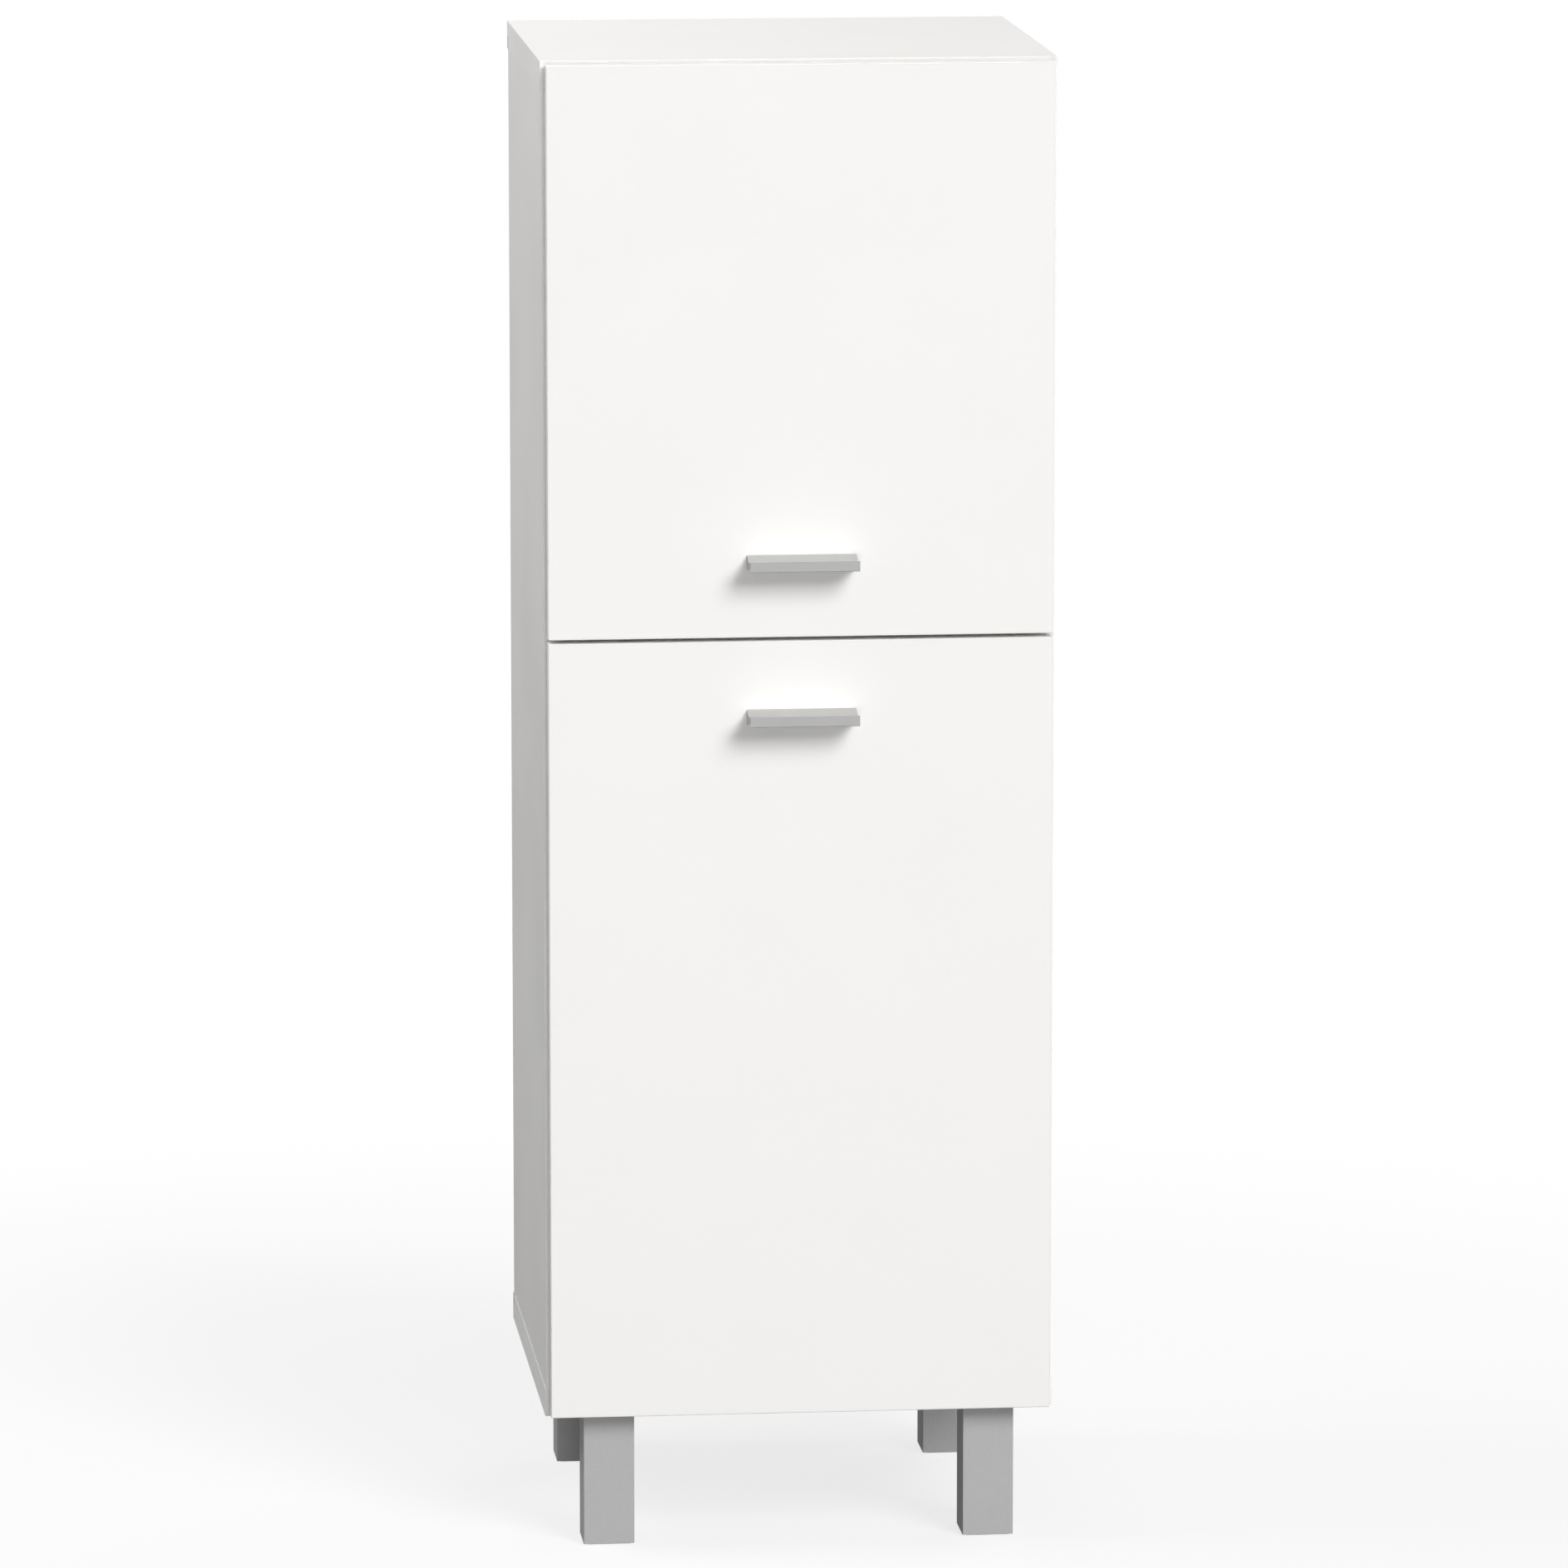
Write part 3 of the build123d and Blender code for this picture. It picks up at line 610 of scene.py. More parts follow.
@dataclass(frozen=True)
class CoatedBoard:
    """Chipboard with a white pressed face and white edge bands."""

    name: str
    colour: Triple
    roughness: float
    fineness: float = 1100.0
    tone_swing: float = 0.035
    peel_depth: float = 0.00002
    skin: float = 0.0003
    band_width: float = 0.0009
    seam_width: float = 0.00012
    seam_share: float = 0.22
    seam_colour: Triple = linear(186, 182, 174)
    chip_fineness: float = 520.0
    chip_depth: float = 0.0002
    chip_dark: Triple = linear(140, 108, 74)
    chip_light: Triple = linear(214, 186, 146)
    core_dulling: float = 0.45
    band_dulling: float = -0.06
    mark_size: float = 0.16
    mark_swing: float = 0.08
    specular: float = 0.24

    def material(self, node: str, plan: BoardPlan) -> bpy.types.Material:
        """Builds the finish for one board.

        Args:
            node: The CAD node that it goes on.
            plan: Which of its edges are banded.

        Returns:
            The material.
        """
        paint = Paint(f"{self.name}_{node}")
        wire = paint.wire
        peel = paint.pattern("orange_peel", Fineness=self.fineness, Strength=self.tone_swing)
        zones = paint.pattern("board_zones", Skin=self.skin, Band_Width=self.band_width,
                              Seam_Width=self.seam_width, **plan.planes(node))
        chips = paint.pattern("chipboard", Fineness=self.chip_fineness)
        face = wire.scale_colour(self.colour, peel["Tone"])
        seam = wire.math("MULTIPLY", zones["Seam"], self.seam_share)
        face = wire.blend(seam, face, self.seam_colour)
        raw = wire.blend(chips["Chip"], self.chip_dark, self.chip_light)
        paint.set(Base_Color=wire.blend(zones["Core"], face, raw))
        marks = paint.marks(self.mark_size, self.mark_swing, self.roughness)
        rough = wire.math("MULTIPLY_ADD", zones["Core"], self.core_dulling, marks)
        rough = wire.math("MULTIPLY_ADD", zones["Band"], self.band_dulling, rough)
        paint.set(Roughness=rough, Specular_IOR_Level=self.specular)
        coarse = wire.math("MULTIPLY", chips["Height"], zones["Core"])
        normal = paint.relief(peel["Height"], self.peel_depth)
        paint.set(Normal=paint.relief(coarse, self.chip_depth, normal))
        return paint.material


@dataclass(frozen=True)
class Hardboard:
    """Thin hardboard, painted white towards the room and raw towards the wall."""

    name: str = "white_hardboard"
    painted: Triple = linear(243, 242, 239)
    dark: Triple = linear(128, 95, 63)
    light: Triple = linear(174, 138, 98)
    fineness: float = 900.0
    tone_swing: float = 0.02
    paint_depth: float = 0.0002
    roughness: float = 0.42
    raw_dulling: float = 0.35
    fibre_depth: float = 0.00012
    specular: float = 0.35

    def material(self, node: str) -> bpy.types.Material:
        """Builds the finish for the panel, whose painted side is its low-Y side.

        Args:
            node: The CAD node that it goes on.

        Returns:
            The material.
        """
        painted_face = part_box(node)[0][1]
        paint = Paint(f"{self.name}_{node}")
        wire = paint.wire
        fibres = paint.pattern("fibres", Fineness=self.fineness)
        peel = paint.pattern("orange_peel", Fineness=self.fineness, Strength=self.tone_swing)
        depth = wire.split(paint.place)["Y"]
        is_raw = wire.math("GREATER_THAN", depth, painted_face + self.paint_depth)
        raw = paint.two_tone(fibres["Fleck"], self.dark, self.light)
        white = wire.scale_colour(self.painted, peel["Tone"])
        paint.set(Base_Color=wire.blend(is_raw, white, raw))
        rough = wire.math("MULTIPLY_ADD", is_raw, self.raw_dulling, self.roughness)
        paint.set(Roughness=rough, Specular_IOR_Level=self.specular)
        relief = wire.math("MULTIPLY", fibres["Height"], is_raw)
        paint.set(Normal=paint.relief(relief, self.fibre_depth))
        return paint.material


@dataclass(frozen=True)
class SilverLacquer:
    """Steel sprayed with a satin silver lacquer."""

    name: str = "silver_paint"
    colour: Triple = linear(181, 181, 181)
    metallic: float = 0.1
    roughness: float = 0.64
    roughness_swing: float = 0.1
    fineness: float = 1500.0
    tone_swing: float = 0.07
    flake_depth: float = 0.00003
    specular: float = 0.05

    def material(self, node: str) -> bpy.types.Material:
        """Builds the finish for one leg.

        Args:
            node: The CAD node that it goes on.

        Returns:
            The material.
        """
        paint = Paint(f"{self.name}_{node}")
        wire = paint.wire
        flake = paint.pattern("metal_flake", Fineness=self.fineness, Strength=self.tone_swing)
        paint.set(Base_Color=wire.scale_colour(self.colour, flake["Tone"]), Metallic=self.metallic)
        smoothest = self.roughness - self.roughness_swing / 2
        rough = wire.math("MULTIPLY_ADD", flake["Shine"], self.roughness_swing, smoothest)
        paint.set(Roughness=rough, Specular_IOR_Level=self.specular)
        paint.set(Normal=paint.relief(flake["Height"], self.flake_depth))
        return paint.material


@dataclass(frozen=True)
class DrawnAluminium:
    """Extruded aluminium with a matt anodised skin, and painted light: upward faces are painted
    lighter and side faces darker.
    """

    name: str = "satin_aluminium"
    # Painted light and shade: a lighter colour for upward faces and a darker one for side faces,
    # blended between two heights of the normal's Z.
    painted_lit_colour: Triple = linear(192, 191, 189)
    painted_shade_colour: Triple = linear(176, 176, 176)
    painted_shade_until: float = 0.2
    painted_light_from: float = 0.6
    metallic: float = 0.05
    roughness: float = 0.5
    squeeze: Triple = (9.0, 1500.0, 1500.0)
    line_swing: float = 0.09
    line_depth: float = 0.00002
    mark_size: float = 0.03
    mark_swing: float = 0.1
    specular: float = 0.1

    def material(self, node: str) -> bpy.types.Material:
        """Builds the finish for one handle, drawn along X.

        Args:
            node: The CAD node that it goes on.

        Returns:
            The material.
        """
        paint = Paint(f"{self.name}_{node}")
        wire = paint.wire
        lines = paint.pattern("drawn_lines", Squeeze=self.squeeze, Strength=self.line_swing)
        marks = paint.marks(self.mark_size, self.mark_swing, self.roughness)
        # Painted light: faces that point up get the lighter colour and side faces the darker one, by
        # the Z of their normal.
        facing = wire.split(wire.add("ShaderNodeNewGeometry").outputs["Normal"])["Z"]
        upper = wire.step(facing, self.painted_shade_until, self.painted_light_from)
        base = wire.blend(upper, self.painted_shade_colour, self.painted_lit_colour)
        paint.set(Base_Color=wire.scale_colour(base, lines["Tone"]), Metallic=self.metallic)
        paint.set(Roughness=marks, Specular_IOR_Level=self.specular)
        paint.set(Normal=paint.relief(lines["Height"], self.line_depth))
        return paint.material


@dataclass(frozen=True)
class PlatedSteel:
    """Steel with a thin plating, slightly tinted and worn smooth."""

    name: str
    colour: Triple
    tint: Triple
    roughness: float
    fineness: float
    tone_swing: float
    squeeze: Triple = (900.0, 900.0, 60.0)
    line_swing: float = 0.06
    line_depth: float = 0.00001
    mark_size: float = 0.01
    mark_swing: float = 0.12

    def material(self, node: str) -> bpy.types.Material:
        """Builds the finish for one group of fittings.

        Args:
            node: The CAD node that it goes on.

        Returns:
            The material.
        """
        paint = Paint(f"{self.name}_{node}")
        wire = paint.wire
        flake = paint.pattern("metal_flake", Fineness=self.fineness, Strength=self.tone_swing)
        lines = paint.pattern("drawn_lines", Squeeze=self.squeeze, Strength=self.line_swing)
        base = wire.blend(flake["Shine"], self.colour, self.tint)
        base = wire.scale_colour(base, wire.math("MULTIPLY", flake["Tone"], lines["Tone"]))
        marks = paint.marks(self.mark_size, self.mark_swing, self.roughness)
        paint.set(Base_Color=base, Metallic=1.0, Roughness=marks)
        paint.set(Normal=paint.relief(lines["Height"], self.line_depth))
        return paint.material


@dataclass(frozen=True)
class Beech:
    """Plain beech, as dowels are turned from."""

    name: str = "beech"
    dark: Triple = linear(178, 132, 88)
    light: Triple = linear(216, 178, 132)
    fineness: float = 1400.0
    roughness: float = 0.5
    roughness_swing: float = 0.2
    figure_depth: float = 0.00004

    def material(self, node: str) -> bpy.types.Material:
        """Builds the finish for the dowels.

        Args:
            node: The CAD node that it goes on.

        Returns:
            The material.
        """
        paint = Paint(f"{self.name}_{node}")
        figure = paint.pattern("wood_figure", Fineness=self.fineness)["Figure"]
        paint.set(Base_Color=paint.two_tone(figure, self.dark, self.light))
        rough = paint.wire.math("MULTIPLY_ADD", figure, self.roughness_swing, self.roughness)
        paint.set(Roughness=rough, Normal=paint.relief(figure, self.figure_depth))
        return paint.material


@dataclass(frozen=True)
class Plastic:
    """A plastic with the light texture of its mould, clear or not."""

    name: str
    colour: Triple
    roughness: float
    fineness: float
    tone_swing: float
    mark_size: float
    mark_swing: float
    peel_depth: float = 0.0
    specular: float = 0.5
    ior: float = 1.5
    clearness: float = 0.0

    def material(self, node: str) -> bpy.types.Material:
        """Builds the finish for one group of mouldings.

        Args:
            node: The CAD node that it goes on.

        Returns:
            The material.
        """
        paint = Paint(f"{self.name}_{node}")
        peel = paint.pattern("orange_peel", Fineness=self.fineness, Strength=self.tone_swing)
        paint.set(Base_Color=paint.wire.scale_colour(self.colour, peel["Tone"]), IOR=self.ior)
        paint.set(Roughness=paint.marks(self.mark_size, self.mark_swing, self.roughness))
        paint.set(Specular_IOR_Level=self.specular, Transmission_Weight=self.clearness)
        if self.peel_depth > 0:
            paint.set(Normal=paint.relief(peel["Height"], self.peel_depth))
        return paint.material


WHITE_BOARD = CoatedBoard("white_board", linear(246, 245, 243), roughness=0.56)
WHITE_DOOR = CoatedBoard("white_door", linear(247, 246, 244), roughness=0.5)
HARDBOARD = Hardboard()
SILVER = SilverLacquer()
ALUMINIUM = DrawnAluminium()
NICKEL = PlatedSteel("nickel_plated_steel", linear(206, 203, 197), linear(200, 197, 191),
                     roughness=0.24, fineness=3200.0, tone_swing=0.03)
ZINC = PlatedSteel("zinc_plated_steel", linear(196, 199, 203), linear(184, 188, 193),
                   roughness=0.34, fineness=1400.0, tone_swing=0.06)
BEECH = Beech()
PLASTIC = Plastic("grey_plastic", linear(96, 97, 99), roughness=0.5, fineness=1800.0,
                  tone_swing=0.12, mark_size=0.02, mark_swing=0.14, peel_depth=0.00004,
                  specular=0.4)
CLEAR = Plastic("clear_buffer", linear(236, 238, 240), roughness=0.16, fineness=1500.0,
                tone_swing=0.04, mark_size=0.004, mark_swing=0.1, ior=1.46, clearness=0.8)


def dress(nodes: dict[str, bpy.types.Object], node: str, material: bpy.types.Material) -> None:
    """Gives a CAD node its finish.

    Args:
        nodes: The frame's nodes.
        node: The node's name.
        material: The finish.
    """
    slots = nodes[node].material_slots
    if not slots:
        nodes[node].data.materials.append(material)
    for slot in slots:
        slot.material = material
    LOG.info("%s wears %s", node, material.name)


def islands(node: bpy.types.Object) -> list[tuple[Vector, Vector]]:
    """Finds the separate solids of a CAD node.

    Args:
        node: The node's object.

    Returns:
        The lowest and highest corner of each, in the order of their places.
    """
    mesh = bmesh.new()
    mesh.from_mesh(node.data)
    bmesh.ops.remove_doubles(mesh, verts=mesh.verts, dist=WELD_DISTANCE)
    waiting, boxes = set(mesh.verts), []
    while waiting:
        start = waiting.pop()
        group, front = [start], [start]
        while front:
            for edge in front.pop().link_edges:
                for vertex in edge.verts:
                    if vertex in waiting:
                        waiting.remove(vertex)
                        group.append(vertex)
                        front.append(vertex)
        low = Vector([min(v.co[i] for v in group) for i in range(3)])
        high = Vector([max(v.co[i] for v in group) for i in range(3)])
        boxes.append((low, high))
    mesh.free()
    return sorted(boxes, key=lambda box: tuple(round(c, PLACE_DIGITS) for c in box[0]))


def lathe(profile: list[tuple[float, float]], sides: int) -> bmesh.types.BMesh:
    """Turns a profile round Z into a closed shell.

    Args:
        profile: Radius and height of each point, from the low pole to the high pole.
        sides: How many flats the round has.

    Returns:
        The shell, with its faces outwards.
    """
    mesh = bmesh.new()
    rings = []
    for radius, height in profile[1:-1]:
        turn = [2 * math.pi * i / sides for i in range(sides)]
        rings.append([mesh.verts.new((radius * math.cos(a), radius * math.sin(a), height))
                      for a in turn])
    low = mesh.verts.new((0, 0, profile[0][1]))
    high = mesh.verts.new((0, 0, profile[-1][1]))
    for i in range(sides):
        j = (i + 1) % sides
        mesh.faces.new((low, rings[0][j], rings[0][i]))
        mesh.faces.new((high, rings[-1][i], rings[-1][j]))
        for lower, upper in zip(rings, rings[1:]):
            mesh.faces.new((lower[i], lower[j], upper[j], upper[i]))
    bmesh.ops.recalc_face_normals(mesh, faces=mesh.faces)
    return mesh


def as_object(name: str, mesh: bmesh.types.BMesh) -> bpy.types.Object:
    """Turns a bmesh into an object in the scene.

    Args:
        name: The object's name.
        mesh: The bmesh, which is freed.

    Returns:
        The object.
    """
    data = bpy.data.meshes.new(name)
    mesh.to_mesh(data)
    mesh.free()
    piece = bpy.data.objects.new(name, data)
    bpy.context.scene.collection.objects.link(piece)
    return piece


def settle(piece: bpy.types.Object) -> None:
    """Carries out an object's modifiers.

    Args:
        piece: The object, which gets the mesh that they give and loses them.
    """
    bpy.context.view_layer.update()
    graph = bpy.context.evaluated_depsgraph_get()
    data = bpy.data.meshes.new_from_object(piece.evaluated_get(graph), depsgraph=graph)
    piece.modifiers.clear()
    piece.data = data


@dataclass(frozen=True)
class ScrewShape:
    """A screw with a domed head and a cross recess, its seat at height 0 and its head upwards."""

    shank_length: float
    shank_radius: float = 0.00175
    head_radius: float = 0.0035
    head_height: float = 0.0020
    pitch: float = 0.0014
    root_share: float = 0.76
    plain_length: float = 0.001
    collar_length: float = 0.0008
    tip_length: float = 0.004
    point_share: float = 0.15
    point_length: float = 0.0002
    seat_share: float = 0.97
    rim_share: float = 0.14
    dome_degrees: tuple[int, ...] = (25, 50, 72)
    dome_fullness: float = 0.75
    recess_width: float = 0.0009
    recess_depth: float = 0.0012
    recess_share: float = 0.62
    recess_taper: float = 0.55
    recess_overrun: float = 0.001
    sides: int = 28

    def profile(self) -> list[tuple[float, float]]:
        """Draws half of the outline, from the tip, up the thread and over the head.

        Returns:
            Radius and height of each point.
        """
        tip = -self.shank_length
        points = [(0.0, tip), (self.shank_radius * self.point_share, tip + self.point_length)]
        height, is_crest = tip + min(self.tip_length, self.shank_length / 3), True
        while height < -self.plain_length:
            points.append((self.shank_radius * (1.0 if is_crest else self.root_share), height))
            height += self.pitch / 2
            is_crest = not is_crest
        points += [(self.shank_radius, -self.collar_length), (self.shank_radius, 0.0),
                   (self.head_radius * self.seat_share, 0.0),
                   (self.head_radius, self.head_height * self.rim_share)]
        for degrees in self.dome_degrees:
            angle = math.radians(degrees)
            rise = self.rim_share + (1.0 - self.rim_share) * math.sin(angle)
            points.append((self.head_radius * math.cos(angle) ** self.dome_fullness,
                           self.head_height * rise))
        points.append((0.0, self.head_height))
        return points

    def recess(self) -> bpy.types.Object:
        """Builds the two crossed blocks that are cut out of the head.

        Returns:
            The blocks, narrower at the floor of the recess.
        """
        cutter = bmesh.new()
        reach, half = self.head_radius * self.recess_share, self.recess_width / 2
        floor = self.head_height - self.recess_depth
        for across, along in ((reach, half), (half, reach)):
            for vertex in bmesh.ops.create_cube(cutter, size=1.0)["verts"]:
                is_upper = vertex.co.z > 0
                taper = 1.0 if is_upper else self.recess_taper
                vertex.co.x *= 2 * across * taper
                vertex.co.y *= 2 * along * taper
                vertex.co.z = self.head_height + self.recess_overrun if is_upper else floor
        return as_object("recess_prototype", cutter)

    def prototype(self) -> bpy.types.Object:
        """Builds one screw and sinks the recess into its head.

        Returns:
            An object that the fastener tree repeats.
        """
        screw = as_object("screw_prototype", lathe(self.profile(), self.sides))
        tool = self.recess()
        cut = screw.modifiers.new("recess", "BOOLEAN")
        cut.operation, cut.solver = "DIFFERENCE", "EXACT"
        cut.object, cut.use_self = tool, True
        settle(screw)
        bpy.data.objects.remove(tool)
        return screw


FASTENER_INPUTS = {
    "Points": GEOMETRY,
    "Fastener": "NodeSocketObject",
    "Lean": "NodeSocketRotation",
    "Size": FLOAT,
    "Turn": FLOAT,
    "Seed": "NodeSocketInt",
    "Finish": "NodeSocketMaterial",
}

# Sockets of the Random Value node that share their names with others.
RANDOM_MAX_INPUT = 3
RANDOM_VALUE_OUTPUT = 1


def build_fastener_tree() -> bpy.types.NodeTree:
    """The tree that sets one fastener on every point of a mesh, each turned at random.

    Returns:
        The tree, with its named inputs.
    """
    tree = bpy.data.node_groups.new("set_fasteners", "GeometryNodeTree")
    for socket, kind in FASTENER_INPUTS.items():
        tree.interface.new_socket(socket, in_out="INPUT", socket_type=kind)
    tree.interface.new_socket("Pieces", in_out="OUTPUT", socket_type=GEOMETRY)
    wire = Wiring(tree)
    source = wire.add("NodeGroupInput").outputs
    model = wire.add("GeometryNodeObjectInfo", transform_space="ORIGINAL")
    wire.feed_named(model, Object=source["Fastener"])
    chance = wire.add("FunctionNodeRandomValue", data_type="FLOAT")
    wire.feed(chance.inputs[RANDOM_MAX_INPUT], source["Turn"])
    wire.feed_named(chance, Seed=source["Seed"])
    twist = wire.add("FunctionNodeAxisAngleToRotation")
    wire.feed_named(twist, Angle=chance.outputs[RANDOM_VALUE_OUTPUT])
    lean = wire.add("FunctionNodeRotateRotation", rotation_space="LOCAL")
    wire.feed_named(lean, Rotation=source["Lean"], Rotate_By=twist.outputs["Rotation"])
    placed = wire.add("GeometryNodeInstanceOnPoints")
    wire.feed_named(placed, Points=source["Points"], Instance=model.outputs["Geometry"],
                    Rotation=lean.outputs["Rotation"], Scale=source["Size"])
    real = wire.add("GeometryNodeRealizeInstances")
    wire.feed_named(real, Geometry=placed.outputs["Instances"])
    coloured = wire.add("GeometryNodeSetMaterial")
    wire.feed_named(coloured, Geometry=real.outputs["Geometry"], Material=source["Finish"])
    wire.feed_named(wire.add("NodeGroupOutput"), Pieces=coloured.outputs["Geometry"])
    return tree


def set_input(modifier: bpy.types.NodesModifier, name: str, value: object) -> None:
    """Sets a modifier's input by its name, through its identifier.

    Args:
        modifier: The modifier.
        name: The input's name.
        value: Its value.

    Raises:
        KeyError: The modifier's tree has no such input.
    """
    for item in modifier.node_group.interface.items_tree:
        if item.item_type == "SOCKET" and item.in_out == "INPUT" and item.name == name:
            modifier[item.identifier] = value
            return
    raise KeyError(name)


@dataclass(frozen=True)
class Fasteners:
    """One node's screws, rebuilt with heads and each twisted by up to so many radians."""

    node: str
    body: str
    facing: Facing
    shape: ScrewShape
    seed: int
    size: float = 1.0
    most_twist: float = 1.2

    def seats(self, obj: bpy.types.Object) -> list[Vector]:
        """Finds where the heads rest, from the solids of the node.

        Args:
            obj: The node's object.

        Returns:
            One point for each solid.
        """
        head, places = Vector(self.facing.value), []
        for low, high in islands(obj):
            half = (high - low) / 2
            reach = sum(abs(head[i]) * half[i] for i in range(3))
            places.append((low + high) / 2 + head * (reach - self.shape.head_height))
        return places

    def build(self, nodes: dict[str, bpy.types.Object], tree: bpy.types.NodeTree) -> None:
        """Sets the fasteners, puts them on their body and hides the node.

        Args:
            nodes: The frame's nodes.
            tree: The tree that sets a fastener on every point.
        """
        points = bmesh.new()
        for seat in self.seats(nodes[self.node]):
            points.verts.new(seat)
        piece = as_object(f"{self.node}_detailed", points)
        model, material = self.shape.prototype(), ZINC.material(self.node)
        modifier = piece.modifiers.new("fasteners", "NODES")
        modifier.node_group = tree
        lean = Vector((0, 0, 1)).rotation_difference(Vector(self.facing.value)).to_euler()
        settings = {"Fastener": model, "Lean": lean, "Size": self.size, "Turn": self.most_twist,
                    "Seed": self.seed, "Finish": material}
        for name, value in settings.items():
            set_input(modifier, name, value)
        settle(piece)
        bpy.data.objects.remove(model)
        piece.data.materials.clear()
        piece.data.materials.append(material)
        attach(piece, self.body)
        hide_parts(self.node)
        LOG.info("%s has %d fasteners", piece.name, len(islands(piece)))


@dataclass(frozen=True)
class Carcass:
    """The boards, shelves and fittings that do not move."""

    caps: tuple[str, ...] = ("top_panel", "bottom_panel")
    sides: tuple[str, ...] = ("left_side_panel", "right_side_panel")
    shelves: tuple[str, ...] = ("fixed_shelf", "upper_shelf", "lower_shelf")
    zinc: tuple[str, ...] = ("cam_bolts", "cam_locks", "wall_brackets", "upper_shelf_pins",
                             "lower_shelf_pins", "back_panel_nails")
    cap_plan: BoardPlan = BoardPlan(Axis.Z, (Edge.LEFT, Edge.RIGHT, Edge.FRONT, Edge.REAR))
    side_plan: BoardPlan = BoardPlan(Axis.X, (Edge.FRONT, Edge.REAR))
    shelf_plan: BoardPlan = BoardPlan(Axis.Z, (Edge.FRONT,))
    bracket_screw: ScrewShape = ScrewShape(shank_length=0.014)

    def finish(self, nodes: dict[str, bpy.types.Object]) -> None:
        """Dresses the boards and the plain fittings.

        Args:
            nodes: The frame's nodes.
        """
        for boards, plan in ((self.caps, self.cap_plan), (self.sides, self.side_plan),
                             (self.shelves, self.shelf_plan)):
            for node in boards:
                dress(nodes, node, WHITE_BOARD.material(node, plan))
        dress(nodes, "back_panel", HARDBOARD.material("back_panel"))
        dress(nodes, "dowels", BEECH.material("dowels"))
        for node in self.zinc:
            dress(nodes, node, ZINC.material(node))

    def fasteners(self) -> tuple[Fasteners, ...]:
        """Names the screws that hold the wall brackets up under the top."""
        return (Fasteners("wall_bracket_screws", CARCASS, Facing.DOWN, self.bracket_screw, seed=3),)


@dataclass(frozen=True)
class Legs:
    """The four legs with their sockets and glides."""

    tubes: tuple[str, ...] = ("front_left_leg", "front_right_leg", "back_left_leg", "back_right_leg")
    mouldings: tuple[str, ...] = ("leg_glides", "leg_sockets")
    socket_screw: ScrewShape = ScrewShape(shank_length=0.015)

    def finish(self, nodes: dict[str, bpy.types.Object]) -> None:
        """Dresses the tubes and the mouldings in them.

        Args:
            nodes: The frame's nodes.
        """
        for node in self.tubes:
            dress(nodes, node, SILVER.material(node))
        for node in self.mouldings:
            dress(nodes, node, PLASTIC.material(node))

    def fasteners(self) -> tuple[Fasteners, ...]:
        """Names the screws that hold the sockets up under the bottom."""
        return (Fasteners("leg_socket_screws", CARCASS, Facing.DOWN, self.socket_screw, seed=5),)


@dataclass(frozen=True)
class Door:
    """One door leaf with its handle, its buffers and its two hinges."""

    name: str
    order: int
    plan: BoardPlan = BoardPlan(Axis.Y, (Edge.LEFT, Edge.RIGHT, Edge.BOTTOM, Edge.TOP))
    steel: tuple[str, ...] = ("hinge_cups", "hinge_pins", "hinge_arms", "hinge_plates")
    cup_screw: ScrewShape = ScrewShape(shank_length=0.013)
    plate_screw: ScrewShape = ScrewShape(shank_length=0.016)
    clamp_screw: ScrewShape = ScrewShape(shank_length=0.008, shank_radius=0.0025,
                                         head_radius=0.0042, pitch=0.0009)
    handle_screw: ScrewShape = ScrewShape(shank_length=0.024, shank_radius=0.0020,
                                          head_radius=0.0040, head_height=0.0024, pitch=0.0008)

    def finish(self, nodes: dict[str, bpy.types.Object]) -> None:
        """Dresses the door and what is fixed to it.

        Args:
            nodes: The frame's nodes.
        """
        leaf, handle, buffers = (f"{self.name}_{part}"
                                 for part in ("door", "handle", "door_buffers"))
        dress(nodes, leaf, WHITE_DOOR.material(leaf, self.plan))
        dress(nodes, handle, ALUMINIUM.material(handle))
        dress(nodes, buffers, CLEAR.material(buffers))
        for part in self.steel:
            node = f"{self.name}_{part}"
            dress(nodes, node, NICKEL.material(node))

    def fasteners(self) -> tuple[Fasteners, ...]:
        """Names the screws in the door, and those of its hinges in the side panel.

        Returns:
            The groups, each with a seed that the other door's doesn't share.
        """
        leaf = f"{self.name}_door"
        groups = (("cup_screws", leaf, Facing.BACK, self.cup_screw, 11),
                  ("handle_screws", leaf, Facing.BACK, self.handle_screw, 17),
                  ("plate_screws", CARCASS, Facing.LEFT, self.plate_screw, 23),
                  ("clamp_screws", CARCASS, Facing.LEFT, self.clamp_screw, 31))
        return tuple(Fasteners(f"{self.name}_{part}", body, facing, shape, seed + self.order)
                     for part, body, facing, shape, seed in groups)


def bearing(azimuth: float, elevation: float) -> Vector:
    """Turns two angles into a direction from the cabinet.

    Args:
        azimuth: Degrees round Z; 0 is in front, and 90 on the right.
        elevation: Degrees above the level.

    Returns:
        The direction, one metre long.
    """
    a, e = math.radians(azimuth), math.radians(elevation)
    return Vector((math.sin(a) * math.cos(e), -math.cos(a) * math.cos(e), math.sin(e)))


def stand(name: str, data: bpy.types.ID, place: Vector, away: Vector) -> bpy.types.Object:
    """Puts a lamp or a camera in the scene.

    Args:
        name: The object's name.
        data: The lamp or the camera.
        place: Where it stands.
        away: The direction that its back is turned to.

    Returns:
        The object.
    """
    thing = bpy.data.objects.new(name, data)
    thing.location = place
    thing.rotation_mode = "QUATERNION"
    thing.rotation_quaternion = (-away).to_track_quat("-Z", "Y")
    bpy.context.scene.collection.objects.link(thing)
    return thing


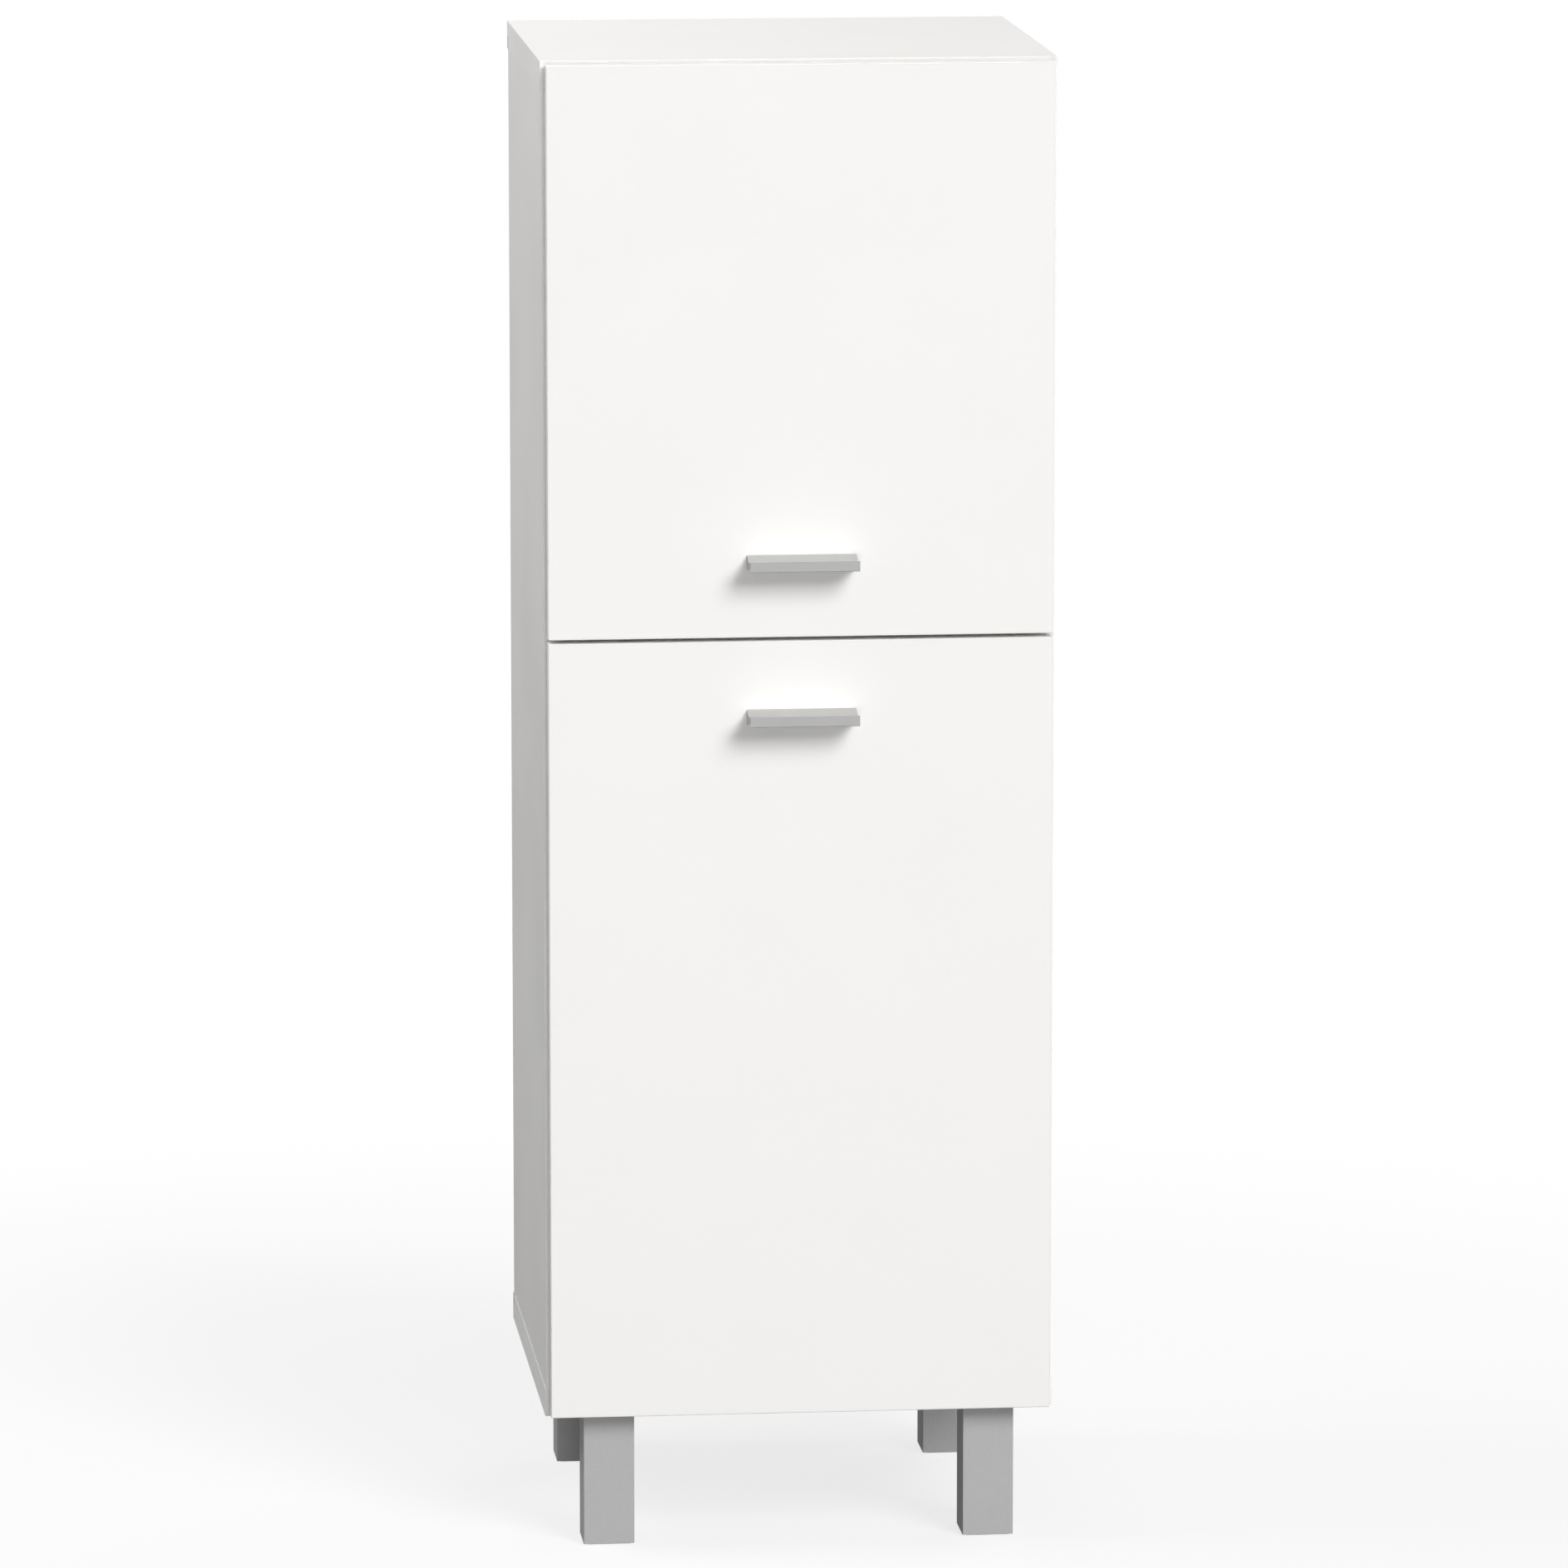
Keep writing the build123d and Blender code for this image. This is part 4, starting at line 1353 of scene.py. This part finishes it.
@dataclass(frozen=True)
class Lamp:
    """A square soft lamp that points at the middle of the cabinet."""

    name: str
    azimuth: float
    elevation: float
    distance: float
    size: float
    power: float

    def hang(self, middle: Vector) -> None:
        """Hangs the lamp at its distance from the cabinet.

        Args:
            middle: The middle of the cabinet.
        """
        data = bpy.data.lights.new(self.name, "AREA")
        data.shape, data.size, data.energy = "SQUARE", self.size, self.power
        away = bearing(self.azimuth, self.elevation)
        stand(self.name, data, middle + away * self.distance, away)


LAMPS = (
    Lamp("key_lamp", azimuth=28.0, elevation=32.0, distance=16.0, size=7.0, power=1900.0),
    Lamp("front_lamp", azimuth=-4.0, elevation=-2.0, distance=5.0, size=1.0, power=68.0),
    Lamp("left_lamp", azimuth=-95.0, elevation=48.0, distance=3.0, size=1.4, power=36.0),
    Lamp("back_lamp", azimuth=140.0, elevation=6.0, distance=6.0, size=2.6, power=110.0),
)


@dataclass(frozen=True)
class Studio:
    """The camera, the floor, the lamps and the white surround."""

    camera_place: Triple = (-0.742, -7.454, 1.853)
    azimuth: float = -5.71
    elevation: float = 9.65
    focal_frames: float = 6.104
    sensor: float = 36.0
    clip_near: float = 0.1
    clip_far: float = 100.0
    floor_reach: float = 30.0
    floor_near: float = 0.5
    floor_far: float = 1.6
    floor_seen: float = 0.93
    floor_bounce: float = 0.1
    floor_glow: float = 0.78
    lamps: tuple[Lamp, ...] = LAMPS
    sky_level: float = 0.2
    sky_low: float = 0.08
    sky_low_from: float = -0.4

    def place_camera(self) -> None:
        """Sets the camera up at the photograph's viewing angle."""
        data = bpy.data.cameras.new("photo_camera")
        data.sensor_width = self.sensor
        data.lens = self.focal_frames * self.sensor
        data.clip_start, data.clip_end = self.clip_near, self.clip_far
        away = bearing(self.azimuth, self.elevation)
        bpy.context.scene.camera = stand("photo_camera", data,
                                         Vector(self.camera_place), away)

    def seen_rays(self, wire: Wiring) -> Socket:
        """Finds the rays that come from the camera or by gloss or glass.

        Args:
            wire: The wiring of a material or of the surround.

        Returns:
            1 for such a ray and 0 for any other.
        """
        path = wire.add("ShaderNodeLightPath")
        pair = wire.math("MAXIMUM", path.outputs["Is Camera Ray"], path.outputs["Is Glossy Ray"])
        return wire.math("MAXIMUM", pair, path.outputs["Is Transmission Ray"])

    def paint_sky(self) -> None:
        """Fills the surround: white where it is seen, softer where it only lights."""
        world = bpy.data.worlds.new("studio_sky")
        wire = cleared(world)
        height = wire.split(wire.add("ShaderNodeTexCoord").outputs["Generated"])["Z"]
        under = wire.step(height, 0.0, self.sky_low_from)
        fall = wire.math("MULTIPLY", under, self.sky_level - self.sky_low)
        glow, plain = (wire.add("ShaderNodeBackground") for _ in range(2))
        white = as_rgba((1.0, 1.0, 1.0))
        wire.feed_named(glow, Color=white, Strength=wire.math("SUBTRACT", self.sky_level, fall))
        wire.feed_named(plain, Color=white, Strength=1.0)
        chosen = wire.mix_shaders(self.seen_rays(wire), glow, plain)
        wire.feed_named(wire.add("ShaderNodeOutputWorld"), Surface=chosen)
        bpy.context.scene.world = world

    def floor_material(self) -> bpy.types.Material:
        """Makes a pale floor that keeps the shadow near the feet and fades to white further out.

        Returns:
            The material.
        """
        material = bpy.data.materials.new("pale_floor")
        wire = cleared(material)
        seen = self.seen_rays(wire)
        matt = wire.add("ShaderNodeBsdfDiffuse")
        wire.feed_named(matt, Color=wire.math("MULTIPLY_ADD", seen,
                                              self.floor_seen - self.floor_bounce,
                                              self.floor_bounce))
        reach = wire.add("ShaderNodeVectorMath", operation="LENGTH")
        wire.feed(reach.inputs[0], wire.add("ShaderNodeTexCoord").outputs["Object"])
        far = wire.step(reach.outputs["Value"], self.floor_near, self.floor_far)
        glow = wire.math("MULTIPLY_ADD", far, 1.0 - self.floor_glow, self.floor_glow)
        chosen = wire.mix_shaders(wire.math("MULTIPLY", glow, seen), matt,
                                  wire.add("ShaderNodeEmission"))
        wire.feed_named(wire.add("ShaderNodeOutputMaterial"), Surface=chosen)
        return material

    def lay_floor(self) -> None:
        """Lays the floor under the feet."""
        mesh = bmesh.new()
        bmesh.ops.create_grid(mesh, x_segments=1, y_segments=1, size=self.floor_reach)
        floor = as_object("studio_floor", mesh)
        floor.data.materials.append(self.floor_material())
        floor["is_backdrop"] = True

    def build(self, middle: Vector) -> None:
        """Sets up everything round the object.

        Args:
            middle: The middle of the cabinet.
        """
        self.place_camera()
        self.paint_sky()
        self.lay_floor()
        for lamp in self.lamps:
            lamp.hang(middle)
        bpy.context.scene.view_settings.view_transform = "Standard"
        LOG.info("studio is ready")


def main() -> None:
    """Builds the studio, dresses the frame and adds the detailed pieces."""
    logging.basicConfig(level=logging.INFO, format="%(name)s: %(message)s")
    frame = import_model()
    nodes = frame["nodes"]
    low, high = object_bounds()
    Studio().build((low + high) / 2)
    build_patterns()
    assemblies = (Carcass(), Legs(), Door("upper", order=0), Door("lower", order=1))
    for assembly in assemblies:
        assembly.finish(nodes)
    tree = build_fastener_tree()
    for assembly in assemblies:
        for group in assembly.fasteners():
            group.build(nodes, tree)


if __name__ == "__main__":
    main()
